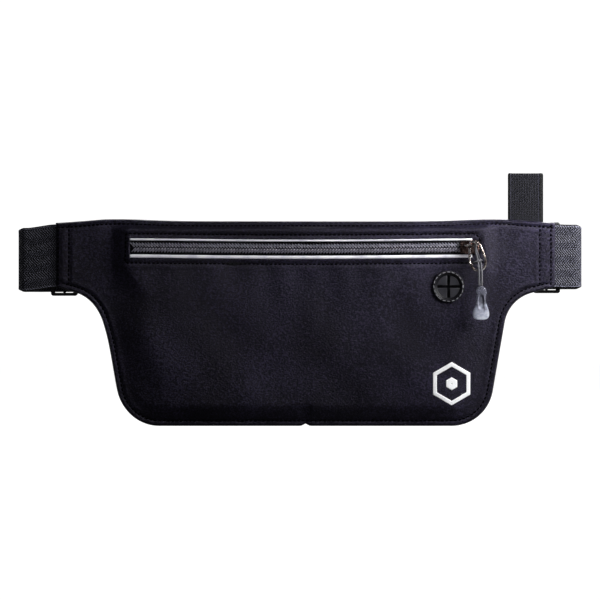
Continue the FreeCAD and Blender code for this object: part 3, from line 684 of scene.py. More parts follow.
def elastic(name, colour, bright, edge_width, half_width, herringbone):
    """Elastic webbing on its own UV (across, along) in millimetres.

    Herringbone has slanted ribs that turn back every few millimetres; the plain rib has picks in columns.
    The edges are dark cords with one pale end just inside them.
    """
    paint = Paint(name, colour, 0.6, specular=0.2, Sheen_Weight=0.04, Sheen_Roughness=0.4)
    paint.shader.inputs["Sheen Tint"].default_value = (0.8, 0.8, 0.95, 1.0)
    split = paint.nodes.new("ShaderNodeSeparateXYZ")
    paint.links.new(paint.coordinates.outputs["UV"], split.inputs["Vector"])
    across, along = split.outputs["X"], split.outputs["Y"]
    turn = 2 * math.pi
    if herringbone:
        slant = paint.sums("MULTIPLY_ADD", paint.sums("PINGPONG", across, 4.2), 0.9, along)
        ribs = paint.sums("SINE", paint.sums("MULTIPLY", slant, turn / 1.5), 0)
        picks = paint.sums("SINE", paint.sums("MULTIPLY", across, turn / 1.1), 0)
        weave = paint.sums("MULTIPLY_ADD", picks, 0.3, ribs)
    else:
        columns = paint.sums("SINE", paint.sums("MULTIPLY", across, turn / 1.5), 0)
        stagger = paint.sums("MULTIPLY_ADD", columns, 0.25, along)
        picks = paint.sums("SINE", paint.sums("MULTIPLY", stagger, turn / 1.0), 0)
        weave = paint.sums("MULTIPLY_ADD", picks, 0.7, paint.sums("MULTIPLY", columns, 0.5))
    fibre = paint.noise(0.7, 3.0, source="UV")
    from_middle = paint.sums("ABSOLUTE", across, 0)
    inner = half_width - edge_width
    edge = paint.range(from_middle, 0.0, 1.0, inner, inner + 0.25)
    face = paint.sums("SUBTRACT", 1.0, edge)
    pale = paint.sums("MULTIPLY", paint.range(from_middle, 0.0, 0.5, inner - 0.5, inner - 0.3), face)
    grain = paint.sums("MULTIPLY_ADD", weave, 0.22, fibre)
    calm = paint.sums("MULTIPLY", paint.sums("ADD", grain, pale), face)
    stops = [(0.2, shade(colour, 0.2)), (0.5, colour), (0.62, bright), (0.85, shade(bright, 2.2))]
    paint.colour(calm, stops)
    paint.bump((weave, 0.16), (fibre, 0.08))
    return paint.material


def woven_tape():
    """The zip's tape: a narrow rib across it with soft fibre noise."""
    colour = (0.005, 0.005, 0.007)
    paint = Paint("zip_tape", colour, 0.75, specular=0.15)
    rib = paint.wave(0.0007)
    fibre = paint.noise(0.0006, 3.0)
    paint.colour(fibre, [(0.3, shade(colour, 0.6)), (0.75, shade(colour, 2.0))])
    paint.bump((rib, 0.12), (fibre, 0.08))
    return paint.material


def nylon(name, colour, roughness):
    """Drawn nylon for the coils: satin, with a slight change of tone from turn to turn."""
    paint = Paint(name, colour, roughness, specular=0.5)
    tone = paint.noise(0.0016, 2.0)
    paint.colour(tone, [(0.35, shade(colour, 0.7)), (0.7, shade(colour, 1.5))])
    paint.bump((paint.noise(0.0002, 2.0), 0.015))
    return paint.material


def thread(name, colour):
    """Sewing thread: a fine twist along it."""
    paint = Paint(name, colour, 0.9, specular=0.03)
    twist = paint.wave(0.00035, "DIAGONAL")
    paint.colour(twist, [(0.2, shade(colour, 0.7)), (0.8, shade(colour, 1.3))])
    paint.bump((twist, 0.05))
    return paint.material


def reflective():
    """Silver reflective tape: a fine bead grain over grey, brighter along its crown, and a faint painted
    glow though it is no lamp.
    """
    colour = (0.80, 0.79, 0.88)
    # A weak emission gives the tape a painted glow, standing in for the light its beads send back.
    paint = Paint("reflective_tape", colour, 0.38, specular=0.6, Emission_Strength=0.16)
    paint.shader.inputs["Emission Color"].default_value = (0.86, 0.84, 1.0, 1.0)
    beads = paint.noise(0.0003, 2.0)
    patchy_tone = paint.noise(0.009, 4.0)
    paint.colour(patchy_tone, [(0.35, shade(colour, 0.72)), (0.6, shade(colour, 1.35))])
    paint.rough(beads, 0.3, 0.5)
    paint.bump((beads, 0.03))
    return paint.material


def moulded(name, colour, roughness, grain=0.0004, depth=0.02, specular=0.5):
    """Moulded plastic or rubber: a fine spark-eroded grain and slight variation in gloss."""
    paint = Paint(name, colour, roughness, specular=specular)
    spark = paint.noise(grain, 3.0)
    tone = paint.noise(0.012, 3.0)
    paint.colour(tone, [(0.3, shade(colour, 0.85)), (0.7, shade(colour, 1.2))])
    paint.rough(tone, roughness - 0.06, roughness + 0.08)
    paint.bump((spark, depth))
    return paint.material


def plated(name, colour, roughness):
    """Plated metal with faint polishing marks, and paler and darker patches at random that stand for wear
    and also serve as painted highlights.
    """
    paint = Paint(name, colour, roughness, metallic=1.0)
    marks = paint.noise(0.0006, 4.0, stretch=(0.2, 1, 1))
    patchy_tone = paint.noise(0.0022, 3.0)
    # The paler patches, up to about twice the plate's colour, are partly wear and partly painted highlight.
    paint.colour(patchy_tone, [(0.4, shade(colour, 0.3)), (0.5, colour), (0.6, shade(colour, 2.2))])
    paint.rough(marks, roughness - 0.05, roughness + 0.1)
    paint.bump((marks, 0.006))
    return paint.material


def braid():
    """Braided cord on its own UV (turn, length): two sets of crossing strands, their crests painted pale as
    a painted highlight and the grooves between them painted dark as painted shade.
    """
    colour = (0.06, 0.06, 0.068)
    paint = Paint("braided_cord", colour, 0.6, specular=0.4, Sheen_Weight=0.1)
    split = paint.nodes.new("ShaderNodeSeparateXYZ")
    paint.links.new(paint.coordinates.outputs["UV"], split.inputs["Vector"])
    turn = paint.sums("MULTIPLY", split.outputs["X"], 6 * 2 * math.pi)
    run = paint.sums("MULTIPLY", split.outputs["Y"], 2 * math.pi / 0.9)
    one = paint.sums("SINE", paint.sums("ADD", run, turn), 0)
    other = paint.sums("SINE", paint.sums("SUBTRACT", run, turn), 0)
    strands = paint.sums("MAXIMUM", one, other)
    # The strand crests go up to 3.6 times the cord's colour as painted highlight, and the grooves down to an
    # eighth of it as painted shade.
    paint.colour(strands, [(0.0, shade(colour, 0.12)), (0.5, shade(colour, 0.8)), (1.0, shade(colour, 3.6))])
    paint.bump((strands, 0.12))
    return paint.material


def clear_rubber():
    """Translucent grip rubber: smoky at its head, with a soft skin, and painted near white towards its foot
    as a painted highlight.
    """
    paint = Paint("clear_rubber", (0.5, 0.52, 0.6), 0.16, specular=0.6, Transmission_Weight=0.55, IOR=1.42)
    split = paint.nodes.new("ShaderNodeSeparateXYZ")
    paint.links.new(paint.coordinates.outputs["Object"], split.inputs["Vector"])
    # Towards the foot the colour is painted near white: a painted highlight for the light the clear rubber
    # gathers.
    rise = paint.range(split.outputs["Z"], 0.0, 1.0, -0.0385, -0.019)
    mottled_rise = paint.sums("MULTIPLY_ADD", paint.sums("SUBTRACT", paint.noise(0.0022, 3.0), 0.5), 0.9, rise)
    painted_highlight_foot, clear = [(0.05, (0.86, 0.89, 1.0)), (0.3, (0.55, 0.58, 0.70))], [(0.55, (0.21, 0.215, 0.27))]
    paint.colour(mottled_rise, painted_highlight_foot + clear + [(0.95, (0.19, 0.195, 0.25))])
    paint.bump((paint.noise(0.0011, 3.0), 0.04))
    return paint.material


def white_print():
    """A white transfer print, a little broken by the weave under it."""
    colour = (0.95, 0.95, 0.97)
    paint = Paint("white_print", colour, 0.5, specular=0.4)
    weave = paint.noise(0.0007, 3.0)
    paint.colour(weave, [(0.25, shade(colour, 0.85)), (0.6, colour)])
    paint.bump((weave, 0.03))
    return paint.material


CLOTH_COLOUR = (0.0042, 0.0036, 0.0078)
PAINTS = {
    "shell": coated_cloth("shell_fabric", CLOTH_COLOUR, 0.02),
    "back": coated_cloth("back_fabric", (0.0095, 0.0088, 0.0135), 0.04),
    "strap": elastic("strap_elastic", (0.006, 0.006, 0.009), (0.062, 0.062, 0.082), 0.8, 19.0, True),
    "loop": elastic("loop_elastic", (0.003, 0.003, 0.005), (0.008, 0.0078, 0.013), 1.6, 10.2, False),
    "tape": woven_tape(),
    "coil": nylon("zip_coil", (0.26, 0.25, 0.31), 0.25),
    "thread": thread("sewing_thread", (0.0012, 0.0012, 0.0018)),
    "piping": reflective(),
    "rim": moulded("rim_rubber", (0.004, 0.004, 0.006), 0.42, specular=0.25),
    "port_thread": thread("port_thread", (0.36, 0.36, 0.40)),
    "port": moulded("port_rubber", (0.030, 0.030, 0.037), 0.36),
    "slider": plated("slider_metal", (0.36, 0.24, 0.22), 0.22),
    # The crown's paint is the slider's own plated metal made paler: a painted highlight on its top bar.
    "crown": plated("crown_metal_painted_highlight", (0.62, 0.56, 0.54), 0.16),
    "ring": plated("ring_metal", (0.66, 0.55, 0.51), 0.2),
    "cord": braid(),
    "tab": clear_rubber(),
    "print": white_print(),
    "plastic": moulded("buckle_plastic", (0.020, 0.020, 0.022), 0.45, depth=0.03),
}


def finish_piece(piece, paint, body, slot, *nodes):
    """Gives a piece its material and body, and hides the CAD nodes it stands for. Its slot is not used."""
    piece.data.materials.clear()
    piece.data.materials.append(PAINTS[paint])
    if body is not None:
        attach(piece, body)
    if nodes:
        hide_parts(*nodes)
    return piece


# ---------------------------------------------------------------- camera, light and floor

def make_camera():
    """A very long lens, level with the belt, square on to the front."""
    data = bpy.data.cameras.new("camera")
    data.lens = 400
    data.sensor_width = 36
    camera = bpy.data.objects.new("camera", data)
    camera.location = (-0.0033, -4.003, -0.0264)
    camera.rotation_euler = (math.radians(90), 0, 0)
    bpy.context.scene.collection.objects.link(camera)
    bpy.context.scene.camera = camera


def area_light(name, place, target, size, power):
    """A square soft light at a place, in metres, aimed at a target."""
    data = bpy.data.lights.new(name, "AREA")
    data.shape = "RECTANGLE"
    data.size, data.size_y = size
    data.energy = power
    lamp = bpy.data.objects.new(name, data)
    lamp.location = place
    lamp.rotation_euler = (Vector(target) - Vector(place)).to_track_quat("-Z", "Y").to_euler()
    bpy.context.scene.collection.objects.link(lamp)


def make_stage():
    """The floor, the white surroundings and the soft lights."""
    size = 4.0
    low = BOTTOM_Z * MM - 0.0006
    mesh = bpy.data.meshes.new("floor")
    corners = [(-size, -size, low), (size, -size, low), (size, size, low), (-size, size, low)]
    mesh.from_pydata(corners, [], [(0, 1, 2, 3)])
    floor = bpy.data.objects.new("floor", mesh)
    bpy.context.scene.collection.objects.link(floor)
    paint = Paint("floor", (0.12, 0.12, 0.12), 0.9, specular=0.1)
    paint.shader.inputs["Emission Color"].default_value = (1, 1, 1, 1)
    lit = paint.nodes.new("ShaderNodeLightPath")
    paint.links.new(lit.outputs["Is Camera Ray"], paint.shader.inputs["Emission Strength"])
    mesh.materials.append(paint.material)
    world = bpy.data.worlds.new("surroundings")
    world.use_nodes = True
    nodes, links = world.node_tree.nodes, world.node_tree.links
    background = nodes["Background"]
    background.inputs["Color"].default_value = (1, 1, 1, 1)
    seen = nodes.new("ShaderNodeLightPath")
    level = nodes.new("ShaderNodeMapRange")
    level.inputs["To Min"].default_value = 0.025
    level.inputs["To Max"].default_value = 1.1
    links.new(seen.outputs["Is Camera Ray"], level.inputs["Value"])
    links.new(level.outputs["Result"], background.inputs["Strength"])
    bpy.context.scene.world = world
    bpy.context.scene.view_settings.view_transform = "Standard"
    area_light("key", (0.27, -0.105, 0.10), (0.08, 0, -0.03), (0.13, 0.13), 1.4)
    area_light("rear", (0.35, 1.1, 0.75), (0, 0, -0.03), (0.9, 0.9), 22.0)
    area_light("side", (-1.1, 0.45, 0.3), (0, 0, -0.03), (0.5, 0.5), 1.2)
    area_light("fill", (0.35, -0.6, 1.15), (0.05, 0, -0.03), (0.5, 0.5), 2.7)
    for spot, place in enumerate([(-0.35, -0.35, 0.20), (0.30, -0.45, -0.45), (0.20, -0.45, 0.50)]):
        area_light(f"glint_{spot}", place, (0.1, 0, -0.01), (0.03, 0.03), 0.04)


# ---------------------------------------------------------------- cord, ring and tab

CROWN = np.array([0.0, CROWN_Y, CROWN_Z])
CORD_RADIUS = 0.6
CORD_ROUTE = [
    (104.0, -1.6, -24.1), (103.8, -2.2, -19.5), (103.7, -2.6, -15.0), (103.4, -1.9, -10.0),
    (101.9, -1.45, -4.6), (101.5, -1.35, -0.6), (101.6, -1.0, 1.15), (101.7, 1.0, 1.15),
    (101.8, 1.3, -0.9), (103.2, 0.7, -5.6), (105.0, -1.4, -10.6), (105.4, -2.6, -15.0),
    (105.5, -2.2, -19.5), (105.4, -1.6, -24.1),
]
RING_ROUTE = [
    (98.2, 1.85, -3.0), (98.3, 1.75, 1.6), (100.4, -1.3, 2.35), (103.9, -2.9, 1.5),
    (105.9, -2.5, -3.0), (108.4, -1.7, -10.6), (106.2, -0.9, -14.8), (101.2, 0.2, -15.0),
    (98.2, 1.4, -11.0),
]
RING_RADIUS = 0.76
TAB_X, TAB_Y = 105.0, -13.8
TAB_PROFILE = [
    (-18.0, 0.0), (-18.25, 1.35), (-18.9, 2.45), (-19.9, 3.2), (-21.4, 3.55), (-22.4, 3.4), (-23.6, 3.05),
    (-25.6, 2.98), (-28.0, 3.15), (-30.6, 3.95), (-33.0, 4.85), (-34.6, 5.0), (-36.0, 4.9), (-37.2, 4.35),
    (-38.0, 3.1), (-38.4, 0.0),
]


def make_cord():
    """The drawcord: a round braided tube along a second-order spline through its route."""
    curve = bpy.data.curves.new("cord_line", "CURVE")
    curve.dimensions = "3D"
    curve.resolution_u = 10
    spline = curve.splines.new("NURBS")
    spline.points.add(len(CORD_ROUTE) - 1)
    for point, place in zip(spline.points, CORD_ROUTE):
        point.co = (*((np.array(place) + CROWN) * MM), 1.0)
    spline.order_u = 3
    spline.use_endpoint_u = True
    line = bpy.data.objects.new("cord_line", curve)
    bpy.context.scene.collection.objects.link(line)
    bpy.context.view_layer.update()
    mesh = bpy.data.meshes.new_from_object(line)
    path = np.array([v.co for v in mesh.vertices])
    bpy.data.objects.remove(line)
    bpy.data.meshes.remove(mesh)
    cord = tube("drawcord", path / MM, CORD_RADIUS, 14)
    finish_piece(cord, "cord", "cord", "braided_cord", "pull_cord")
    return cord, path


def make_bight():
    """The cord's cross turn over its two strands: an oval ring, flattened front to back."""
    t = np.linspace(0, 2 * math.pi, 41)[:-1]
    path = np.stack([
        104.2 - 0.9 + 2.15 * np.cos(t),
        CROWN_Y - 0.55 - 1.75 * np.sin(t),
        CROWN_Z - 9.6 + 0.75 * np.cos(t) + 0.25 * np.sin(t),
    ], -1)
    bight = tube("cord_bight", path, 0.62, 12, closed=True)
    return finish_piece(bight, "cord", "cord", "braided_cord")


def make_ring():
    """The pull ring: a closed round wire along a quadratic spline inside its route's corners."""
    corners = np.array(RING_ROUTE) + CROWN
    before, after = (np.roll(corners, 1, 0) + corners) / 2, (corners + np.roll(corners, -1, 0)) / 2
    t = (np.arange(14) / 14)[None, :, None]
    path = (1 - t) ** 2 * before[:, None] + 2 * t * (1 - t) * corners[:, None] + t**2 * after[:, None]
    ring = tube("wire_ring", path.reshape(-1, 3), RING_RADIUS, 20, closed=True)
    return finish_piece(ring, "ring", "ring", "ring_metal", "pull_ring")


def make_tab():
    """The grip tab: flattened ovals stacked down its outline, an oval recess and three raised dots."""
    heights, widths = np.array(TAB_PROFILE).T
    t = (1 - np.cos(np.linspace(0, math.pi, 74))) / 2
    z = heights[0] + (heights[-1] - heights[0]) * t
    width = np.interp(z, heights[::-1], widths[::-1])
    kernel = np.array([1, 2, 1]) / 4
    width[2:-2] = np.convolve(width, kernel, "same")[2:-2]
    thick = 1.9 * (1 - (1 - np.clip(width / 3.0, 0, 1)) ** 2.4) * (1 - 0.12 * smoothstep((z + 30) / 8))
    angle = np.linspace(0, 2 * math.pi, 65)[:-1]
    c, s = np.cos(angle), np.sin(angle)
    power = 0.62
    x = width[:, None] * np.sign(c) * np.abs(c) ** power
    y = thick[:, None] * np.sign(s) * np.abs(s) ** power
    z = np.broadcast_to(z[:, None], x.shape).copy()
    recess = np.hypot(x / 1.75, (z + 27.7) / 4.6)
    y = np.where(y < -0.4, y + 0.75 * smoothstep((1.12 - recess) / 0.3), y)
    for spot in (-35.6, -34.9, -36.3):
        mark = np.hypot((x - 1.1 * (spot + 35.6) / 0.7) / 0.5, (z - spot) / 0.34)
        y = np.where(y < -0.4, y - 0.16 * smoothstep((1.1 - mark) / 0.4), y)
    points = np.stack([x + TAB_X, y + TAB_Y, z], -1)
    faces = grid_faces(*x.shape, wrap_columns=True)
    tab = face_outwards(new_piece("grip_tab", points.reshape(-1, 3), faces))
    return finish_piece(tab, "tab", "tab", "clear_rubber", "pull_tab")


# ---------------------------------------------------------------- zip

def strip(name, x_range, across, profile, columns, base=None):
    """A long strip along x: rows at their own z, at a base depth along x plus profile(share) across."""
    x = np.linspace(*x_range, columns)
    share = np.linspace(0, 1, 9)
    z = across[0] + (across[1] - across[0]) * share
    plan = sagged(np.stack(np.meshgrid(x, z, indexing="xy"), -1))
    depth = profile(share)[:, None] + (np.zeros(columns) if base is None else base(x))
    depth = depth + 0.04 * np.sin(0.21 * plan[..., 0]) + 0.03 * np.sin(0.47 * plan[..., 0] + 1)
    points = np.stack([plan[..., 0], depth, plan[..., 1]], -1)
    faces = grid_faces(len(share), columns)
    if across[1] < across[0]:
        faces = faces[:, ::-1]
    return new_piece(name, points.reshape(-1, 3), faces, plan.reshape(-1, 2))


def make_piping(name, across, node, cloth, window_edge):
    """Reflective piping: a strip whose section is a low dome, laid on the cloth along the window edge."""
    low, high = node_box(node)
    nudge = 0.8 if window_edge > CHAIN_Z else -0.8

    def dome(share):
        return 0.1 - (high[1] - low[1]) * np.sqrt(np.clip(1 - (2 * share - 1) ** 2, 0, 1))

    def lie(x):
        return cloth.depth_at(sagged(np.stack([x, np.full_like(x, window_edge + nudge)], -1)))

    piece = thicken(strip(name, (low[0], high[0]), across, dome, 240, lie), 0.25)
    return finish_piece(piece, "piping", "pouch", "reflective_tape", node)


def make_tape(name, node):
    """A woven zip tape: a thin strip behind the window, lifted a little at its raw edge."""
    low, high = node_box(node)
    across = (high[2], low[2])

    def fall(share):
        return low[1] + 0.1 * share

    piece = thicken(strip(name, (low[0], high[0]), across, fall, 160), 0.5)
    return finish_piece(piece, "tape", "pouch", "zip_tape", node)


def make_coil(name, node, side):
    """A nylon coil: a wire wound as a long flat helix, a turn for each tooth, slanted to the other coil."""
    low, high = node_box(node)
    pitch, wire = 1.8, 0.31
    half = (high[2] - low[2]) / 2 - wire - 0.04
    turns = (high[0] - low[0] - 1.2) / pitch
    t = np.linspace(0, 2 * math.pi * turns, int(turns * 22))
    squared = np.sign(np.cos(t)) * np.abs(np.cos(t)) ** 0.8
    x = low[0] + 0.6 + pitch * t / (2 * math.pi) + (0 if side > 0 else pitch / 2) - 0.75 * squared
    z = (low[2] + high[2]) / 2 + side * half * squared
    y = (low[1] + high[1]) / 2 - 0.5 * np.sin(t)
    plan = sagged(np.stack([x, z], -1))
    coil = tube(name, np.stack([plan[:, 0], y, plan[:, 1]], -1), wire, 7)
    return finish_piece(coil, "coil", "pouch", "zip_coil", node)


def bevelled_copy(name, node, paint, body, slot, width=0.25):
    """A merged copy of a CAD node with its edges rounded."""
    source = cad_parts[node]
    piece = bpy.data.objects.new(name, source.data.copy())
    bpy.context.scene.collection.objects.link(piece)
    work = bmesh.new()
    work.from_mesh(piece.data)
    bmesh.ops.remove_doubles(work, verts=work.verts, dist=2e-6)
    bmesh.ops.dissolve_limit(work, angle_limit=math.radians(1.5), verts=work.verts, edges=work.edges)
    work.to_mesh(piece.data)
    work.free()
    piece.data.polygons.foreach_set("use_smooth", np.full(len(piece.data.polygons), True))
    round_off = piece.modifiers.new("edges", "BEVEL")
    round_off.width = width * MM
    round_off.segments = 3
    round_off.limit_method = "ANGLE"
    round_off.angle_limit = math.radians(32)
    round_off.harden_normals = False
    return finish_piece(piece, paint, body, slot, node)


# ---------------------------------------------------------------- port and print

def lathe(name, profile, segments=96):
    """A (radius, y) profile turned about the port's axis."""
    profile = np.asarray(profile, float)
    angle = np.linspace(0, 2 * math.pi, segments + 1)[:-1]
    x = PORT_X + profile[:, :1] * np.cos(angle)
    z = PORT_Z + profile[:, :1] * np.sin(angle)
    y = np.broadcast_to(profile[:, 1:], x.shape)
    faces = grid_faces(len(profile), segments, wrap_columns=True)
    return face_outwards(new_piece(name, np.stack([x, y, z], -1).reshape(-1, 3), faces))


def make_port():
    """The cable port: two beads turned about its axis, four leaves round a slit, and a ring of stitches."""
    t = np.linspace(0, 1, 15)
    inner = np.stack([7.95 + 0.75 * t, -7.75 - 0.42 * np.sin(math.pi * t)], -1)
    outer = np.stack([8.75 + 0.75 * t, -7.55 - 0.55 * np.sin(math.pi * t)], -1)
    start = [(6.7, -7.0), (6.75, -7.35), (7.4, -7.45), (7.8, -7.45)]
    rim = lathe("port_rim", [*start, *inner, *outer, (9.5, -6.9), (6.7, -6.9), (6.7, -7.0)])
    finish_piece(rim, "rim", "pouch", "port_rubber", "cable_port")
    radius = 1.2 + (6.75 - 1.2) * np.linspace(0, 1, 16) ** 0.8
    gap = np.arcsin(np.clip(0.82 / radius, 0, 1))
    share = np.linspace(0, 1, 14)
    angle = gap[:, None] + (math.pi / 2 - 2 * gap[:, None]) * share
    leaves, faces = [], []
    for quarter in range(4):
        turn = angle + quarter * math.pi / 2
        tip = (1 - radius[:, None] / 6.9) ** 1.4
        belly = np.sin(math.pi * share)[None] * (1 - tip)
        lift = 0.42 * tip + 0.10 * belly + (0.18, 0.05, 0.12, 0.0)[quarter] * tip
        x = PORT_X + radius[:, None] * np.cos(turn)
        z = PORT_Z + radius[:, None] * np.sin(turn)
        leaves.append(np.stack([x, -7.15 - lift, z], -1).reshape(-1, 3))
        faces.append(grid_faces(*x.shape) + quarter * x.size)
    flaps = new_piece("port_flaps", np.concatenate(leaves), np.concatenate(faces))
    face_towards(flaps, (0, -1, 0))
    thicken(flaps, 0.55)
    finish_piece(flaps, "port", "pouch", "port_rubber")
    plate = [(0.0, -5.6), (4.0, -5.62), (8.6, -5.7), (9.0, -5.4), (8.6, -5.1), (0.0, -5.05)]
    back = lathe("port_backing", plate)
    finish_piece(back, "rim", "pouch", "port_rubber", "cable_port_backing")
    count = 20
    angle = np.arange(count) * 2 * math.pi / count
    x, z = PORT_X + 8.78 * np.cos(angle), PORT_Z + 8.78 * np.sin(angle)
    places = np.stack([x, np.full(count, -8.06), z], -1)
    heading = np.stack([-np.sin(angle), np.zeros(count), np.cos(angle)], -1)
    shape, bead_faces = bead_shape(1.9, 0.42, 0.24)
    upward = np.broadcast_to([0.0, -1.0, 0.0], places.shape)
    ring = scatter("port_stitches", shape, bead_faces, places, heading, upward)
    finish_piece(ring, "port_thread", "pouch", "port_rubber")


def face_towards(piece, direction):
    """Flips a sheet whose faces look away from a direction on the whole."""
    normals = np.zeros(len(piece.data.polygons) * 3)
    piece.data.polygons.foreach_get("normal", normals)
    if (normals.reshape(-1, 3) @ np.array(direction, float)).sum() < 0:
        piece.data.flip_normals()
    return piece


EMBLEM_LOW, EMBLEM_HIGH = node_box("printed_emblem")


def hexagon(scale):
    """Points round an upright six-sided outline, close together, at a scale of the emblem's size."""
    middle = (EMBLEM_LOW + EMBLEM_HIGH) / 2
    half = (EMBLEM_HIGH - EMBLEM_LOW) / 2
    corners = np.array([(0, 1), (1, 0.5), (1, -0.5), (0, -1), (-1, -0.5), (-1, 0.5)])
    ahead = np.roll(corners, -1, 0)
    t = (np.arange(14) / 14)[None, :, None]
    line = (corners[:, None] * (1 - t) + ahead[:, None] * t).reshape(-1, 2)
    return middle[[0, 2]] + line * half[[0, 2]] * scale


def make_emblem(cloth):
    """The print: a six-sided ring and a small solid six-sided mark, both laid on the cloth."""
    bands = [(1.0, 0.79), (0.30, 0.02)]
    points, faces, base = [], [], 0
    for outer, inner in bands:
        scales = np.linspace(outer, inner, 7)
        plan = np.stack([hexagon(s) for s in scales])
        flat = plan.reshape(-1, 2)
        depth = cloth.depth_at(flat) - 0.09
        points.append(np.stack([flat[:, 0], depth, flat[:, 1]], -1))
        faces.append(grid_faces(*plan.shape[:2], wrap_columns=True) + base)
        base += len(flat)
    print_piece = new_piece("emblem_print", np.concatenate(points), np.concatenate(faces))
    face_towards(print_piece, (0, -1, 0))
    thicken(print_piece, 0.08)
    return finish_piece(print_piece, "print", "pouch", "white_print", "printed_emblem")


# ---------------------------------------------------------------- webbing

def band_section(half_width, thickness, steps=40):
    """The section of a woven band: (across, out) pairs round a flat strip with slightly corded edges."""
    half = thickness / 2
    flat = np.linspace(-half_width + half, half_width - half, steps)
    cord = 0.12 * np.exp(-(((np.abs(flat) - half_width + 1.0) / 0.5) ** 2))
    angle = np.linspace(-math.pi / 2, math.pi / 2, 7)[1:-1]
    end = np.stack([half_width - half + half * np.cos(angle), half * np.sin(angle)], -1)
    under = np.stack([flat, -half - cord], -1)
    over = np.stack([flat[::-1], half + cord], -1)
    return np.concatenate([under, end, over, (end * [-1, 1])[::-1]])


def webbing(name, path, across, half_width, thickness, shift=None, waviness=0.08, draw=0.0):
    """A woven band carried along a path: its section stands across the path.

    Shift slides it sideways along the way, and draw narrows it where it turns, as a share of its width.
    """
    path = np.asarray(path, float)
    across = np.asarray(across, float)
    tangent = unit(np.gradient(path, axis=0))
    out = unit(np.cross(across, tangent))
    section = band_section(half_width, thickness)
    length = np.concatenate([[0], np.cumsum(np.linalg.norm(np.diff(path, axis=0), axis=1))])
    shift = np.zeros(len(path)) if shift is None else shift
    ripple = waviness * (np.sin(0.33 * length) + 0.7 * np.sin(0.19 * length + 2.0))
    sideways = (section[None, :, 0] * (1 - np.broadcast_to(draw, len(path)))[:, None]) + shift[:, None]
    sideways = sideways + 0.25 * waviness * np.sin(0.6 * length)[:, None]
    outward = section[None, :, 1] + ripple[:, None] * (section[None, :, 0] / half_width) ** 2
    points = path[:, None] + sideways[..., None] * across + outward[..., None] * out[:, None]
    uv = np.stack(np.broadcast_arrays(section[None, :, 0], length[:, None]), -1)
    count, around = len(path), len(section)
    faces = grid_faces(count, around, wrap_columns=True)
    ends = [list(range(around)), list(range((count - 1) * around, count * around))]
    piece = new_piece(name, points.reshape(-1, 3), faces.tolist() + ends, uv.reshape(-1, 2))
    return face_outwards(piece)


def flat_path(points, step=1.2):
    """A polyline of (x, y) spread evenly, at z 0."""
    even, _ = resample(points, step)
    return np.stack([even[:, 0], even[:, 1], np.zeros(len(even))], -1)


def arc(centre, radius, start, end, steps=16):
    """Points on an arc, its angles in degrees, measured from x towards y."""
    angle = np.radians(np.linspace(start, end, steps))
    return np.stack([centre[0] + radius * np.cos(angle), centre[1] + radius * np.sin(angle)], -1)


STRAP_HALF = 19.0
STRAP_THICK = 1.2
FOLD_Y = 2.0
FOLD_RADIUS = 3.8
BAR = (72.0, 6.55)
ADJUSTER_BAR = (145.0, 8.75)


def strap_side(side, name, fold_x, drop):
    """One half of the waist strap: front run and fold, single run, buckle loop, tail and adjuster end."""
    mirror = np.array([side, 1.0, 1.0])
    body, webbing_body, adjuster = f"{name}_strap", f"{name}_webbing", f"{name}_adjuster"
    y_run = FOLD_Y + FOLD_RADIUS

    def band(part, line, step, shift=None):
        path = flat_path(line, step)
        shift = np.full(len(path), -drop) if shift is None else shift(path)
        draw = 0.05 * smoothstep((path[:, 0] - fold_x - 1.0) / 3.0)
        path = path * mirror
        return webbing(f"{name}_band_{part}", path, (0, 0, 1), STRAP_HALF, STRAP_THICK, shift, draw=draw)

    def sinking(path):
        """The front run eases down towards the fold, and the fold goes on down to the run behind."""
        share = 0.8 if side < 0 else 0.2
        eased = share * drop * smoothstep((path[:, 0] - WING_END_X) / (fold_x - WING_END_X))
        return -eased - (drop - eased) * smoothstep((path[:, 1] + 1.8) / 7.6)

    turn = arc((fold_x, FOLD_Y), FOLD_RADIUS, -90, 90, 24)
    fold = band("front", np.concatenate([[(128.0, -1.8)], turn, [(fold_x - 0.6, y_run)]]), 0.7, sinking)
    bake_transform(fold)
    finish_piece(fold, "strap", None, "strap_elastic", f"{name}_strap_front", f"{name}_strap_fold")
    run = band("run", [(fold_x - 0.4, y_run), (85.0, y_run)], 1.2)
    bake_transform(run)
    finish_piece(run, "strap", None, "strap_elastic", f"{name}_strap_back")
    loop = band("loop", np.concatenate([[(85.4, y_run)], arc(BAR, 2.3, -80, -280, 22), [(85.4, 7.3)]]), 0.6)
    finish_piece(loop, "strap", webbing_body, "strap_elastic", f"{name}_strap_loop")
    tail = band("tail", [(85.0, 7.3), (143.9, 7.3)], 1.2)
    finish_piece(tail, "strap", webbing_body, "strap_elastic", f"{name}_strap_tail")
    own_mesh(tail)
    hook = np.concatenate([[(144.0, 7.3)], arc(ADJUSTER_BAR, 1.45, -90, 90, 16), [(136.0, 10.2)]])
    end = band("end", hook, 0.5)
    finish_piece(end, "strap", adjuster, "strap_elastic", f"{name}_strap_end")


def make_hang_loop():
    """The hanging loop: a ribbed band folded over at its top, both ends sewn in behind the pouch."""
    low, high = node_box("hang_loop")
    base_low = node_box("hang_loop_base")[0]
    x = (low[0] + high[0]) / 2
    front_y, back_y = low[1] + 0.5, high[1] - 0.5
    radius = (back_y - front_y) / 2
    top = high[2] - 0.5
    turn = np.radians(np.linspace(180, 0, 16))
    bend_y, bend_z = (front_y + back_y) / 2 + radius * np.cos(turn), top - radius + radius * np.sin(turn)
    bend = np.stack([bend_y, bend_z], -1)
    line = np.concatenate([[(front_y, base_low[2])], bend, [(back_y, base_low[2])]])
    even, _ = resample(line, 0.6)
    path = np.stack([np.full(len(even), x), even[:, 0], even[:, 1]], -1)
    slide = 0.9 * smoothstep((path[:, 1] - front_y) / (back_y - front_y))
    band = webbing("ribbed_loop", path, (1, 0, 0), 10.2, 1.0, slide, 0.05)
    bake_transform(band)
    return finish_piece(band, "loop", None, "loop_elastic", "hang_loop", "hang_loop_base")


# ---------------------------------------------------------------- the whole belt

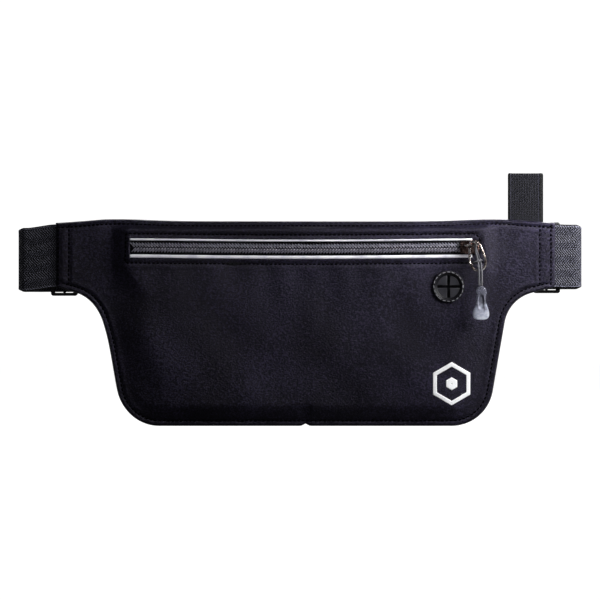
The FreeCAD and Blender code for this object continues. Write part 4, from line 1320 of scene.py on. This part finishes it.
make_camera()
make_stage()
cord, cord_path = make_cord()
bight = make_bight()
make_ring()
make_tab()

PLAN = pouch_grid()
front, front_piece = make_front(PLAN)
thicken(front_piece, 0.7)
finish_piece(front_piece, "shell", "pouch", "shell_fabric", "front_panel")
back, back_piece = make_back(PLAN)
thicken(back_piece, 0.5)
finish_piece(back_piece, "back", "pouch", "back_fabric", "back_panel")
stitches = thread_rows("front_stitches", FRONT_ROWS, front, -1)
finish_piece(stitches, "thread", "pouch", "shell_fabric")
back_rows = [inset_edge(3.3), FRONT_ROWS[0]]
back_stitches = thread_rows("back_stitches", back_rows, back, 1)
finish_piece(back_stitches, "thread", "pouch", "back_fabric")

low_piping, high_piping = "reflective_piping_lower", "reflective_piping_upper"
make_piping("piping_lower", (WINDOW_Z[0], node_box(low_piping)[0][2]), low_piping, front, WINDOW_Z[0])
make_piping("piping_upper", (node_box(high_piping)[1][2], WINDOW_Z[1]), high_piping, front, WINDOW_Z[1])
make_tape("tape_upper", "zipper_tape_upper")
make_tape("tape_lower", "zipper_tape_lower")
make_coil("coil_upper", "zipper_coil_upper", 1)
make_coil("coil_lower", "zipper_coil_lower", -1)
bevelled_copy("zip_slider", "slider_body", "slider", "slider", "slider_metal", 0.3)
# The crown gets the paler crown paint: the slider's metal with a painted highlight.
bevelled_copy("zip_crown", "slider_crown", "crown", "slider", "slider_metal", 0.2)
make_port()
make_emblem(front)
for side, name, fold_x, drop in ((-1, "left", 168.0, 2.6), (1, "right", 161.4, 1.0)):
    strap_side(side, name, fold_x, drop)
    slide = f"{name}_adjuster"
    bevelled_copy(f"{name}_slide_adjuster", slide, "plastic", slide, "buckle_plastic", 0.5)
make_hang_loop()
bevelled_copy("buckle_receiver", "buckle_socket", "plastic", "socket", "buckle_plastic", 0.6)
bevelled_copy("buckle_tongue", "buckle_plug", "plastic", "plug", "buckle_plastic", 0.5)
bevelled_copy("prong_high", "buckle_prong_upper", "plastic", "prong_upper", "buckle_plastic", 0.4)
bevelled_copy("prong_low", "buckle_prong_lower", "plastic", "prong_lower", "buckle_plastic", 0.4)
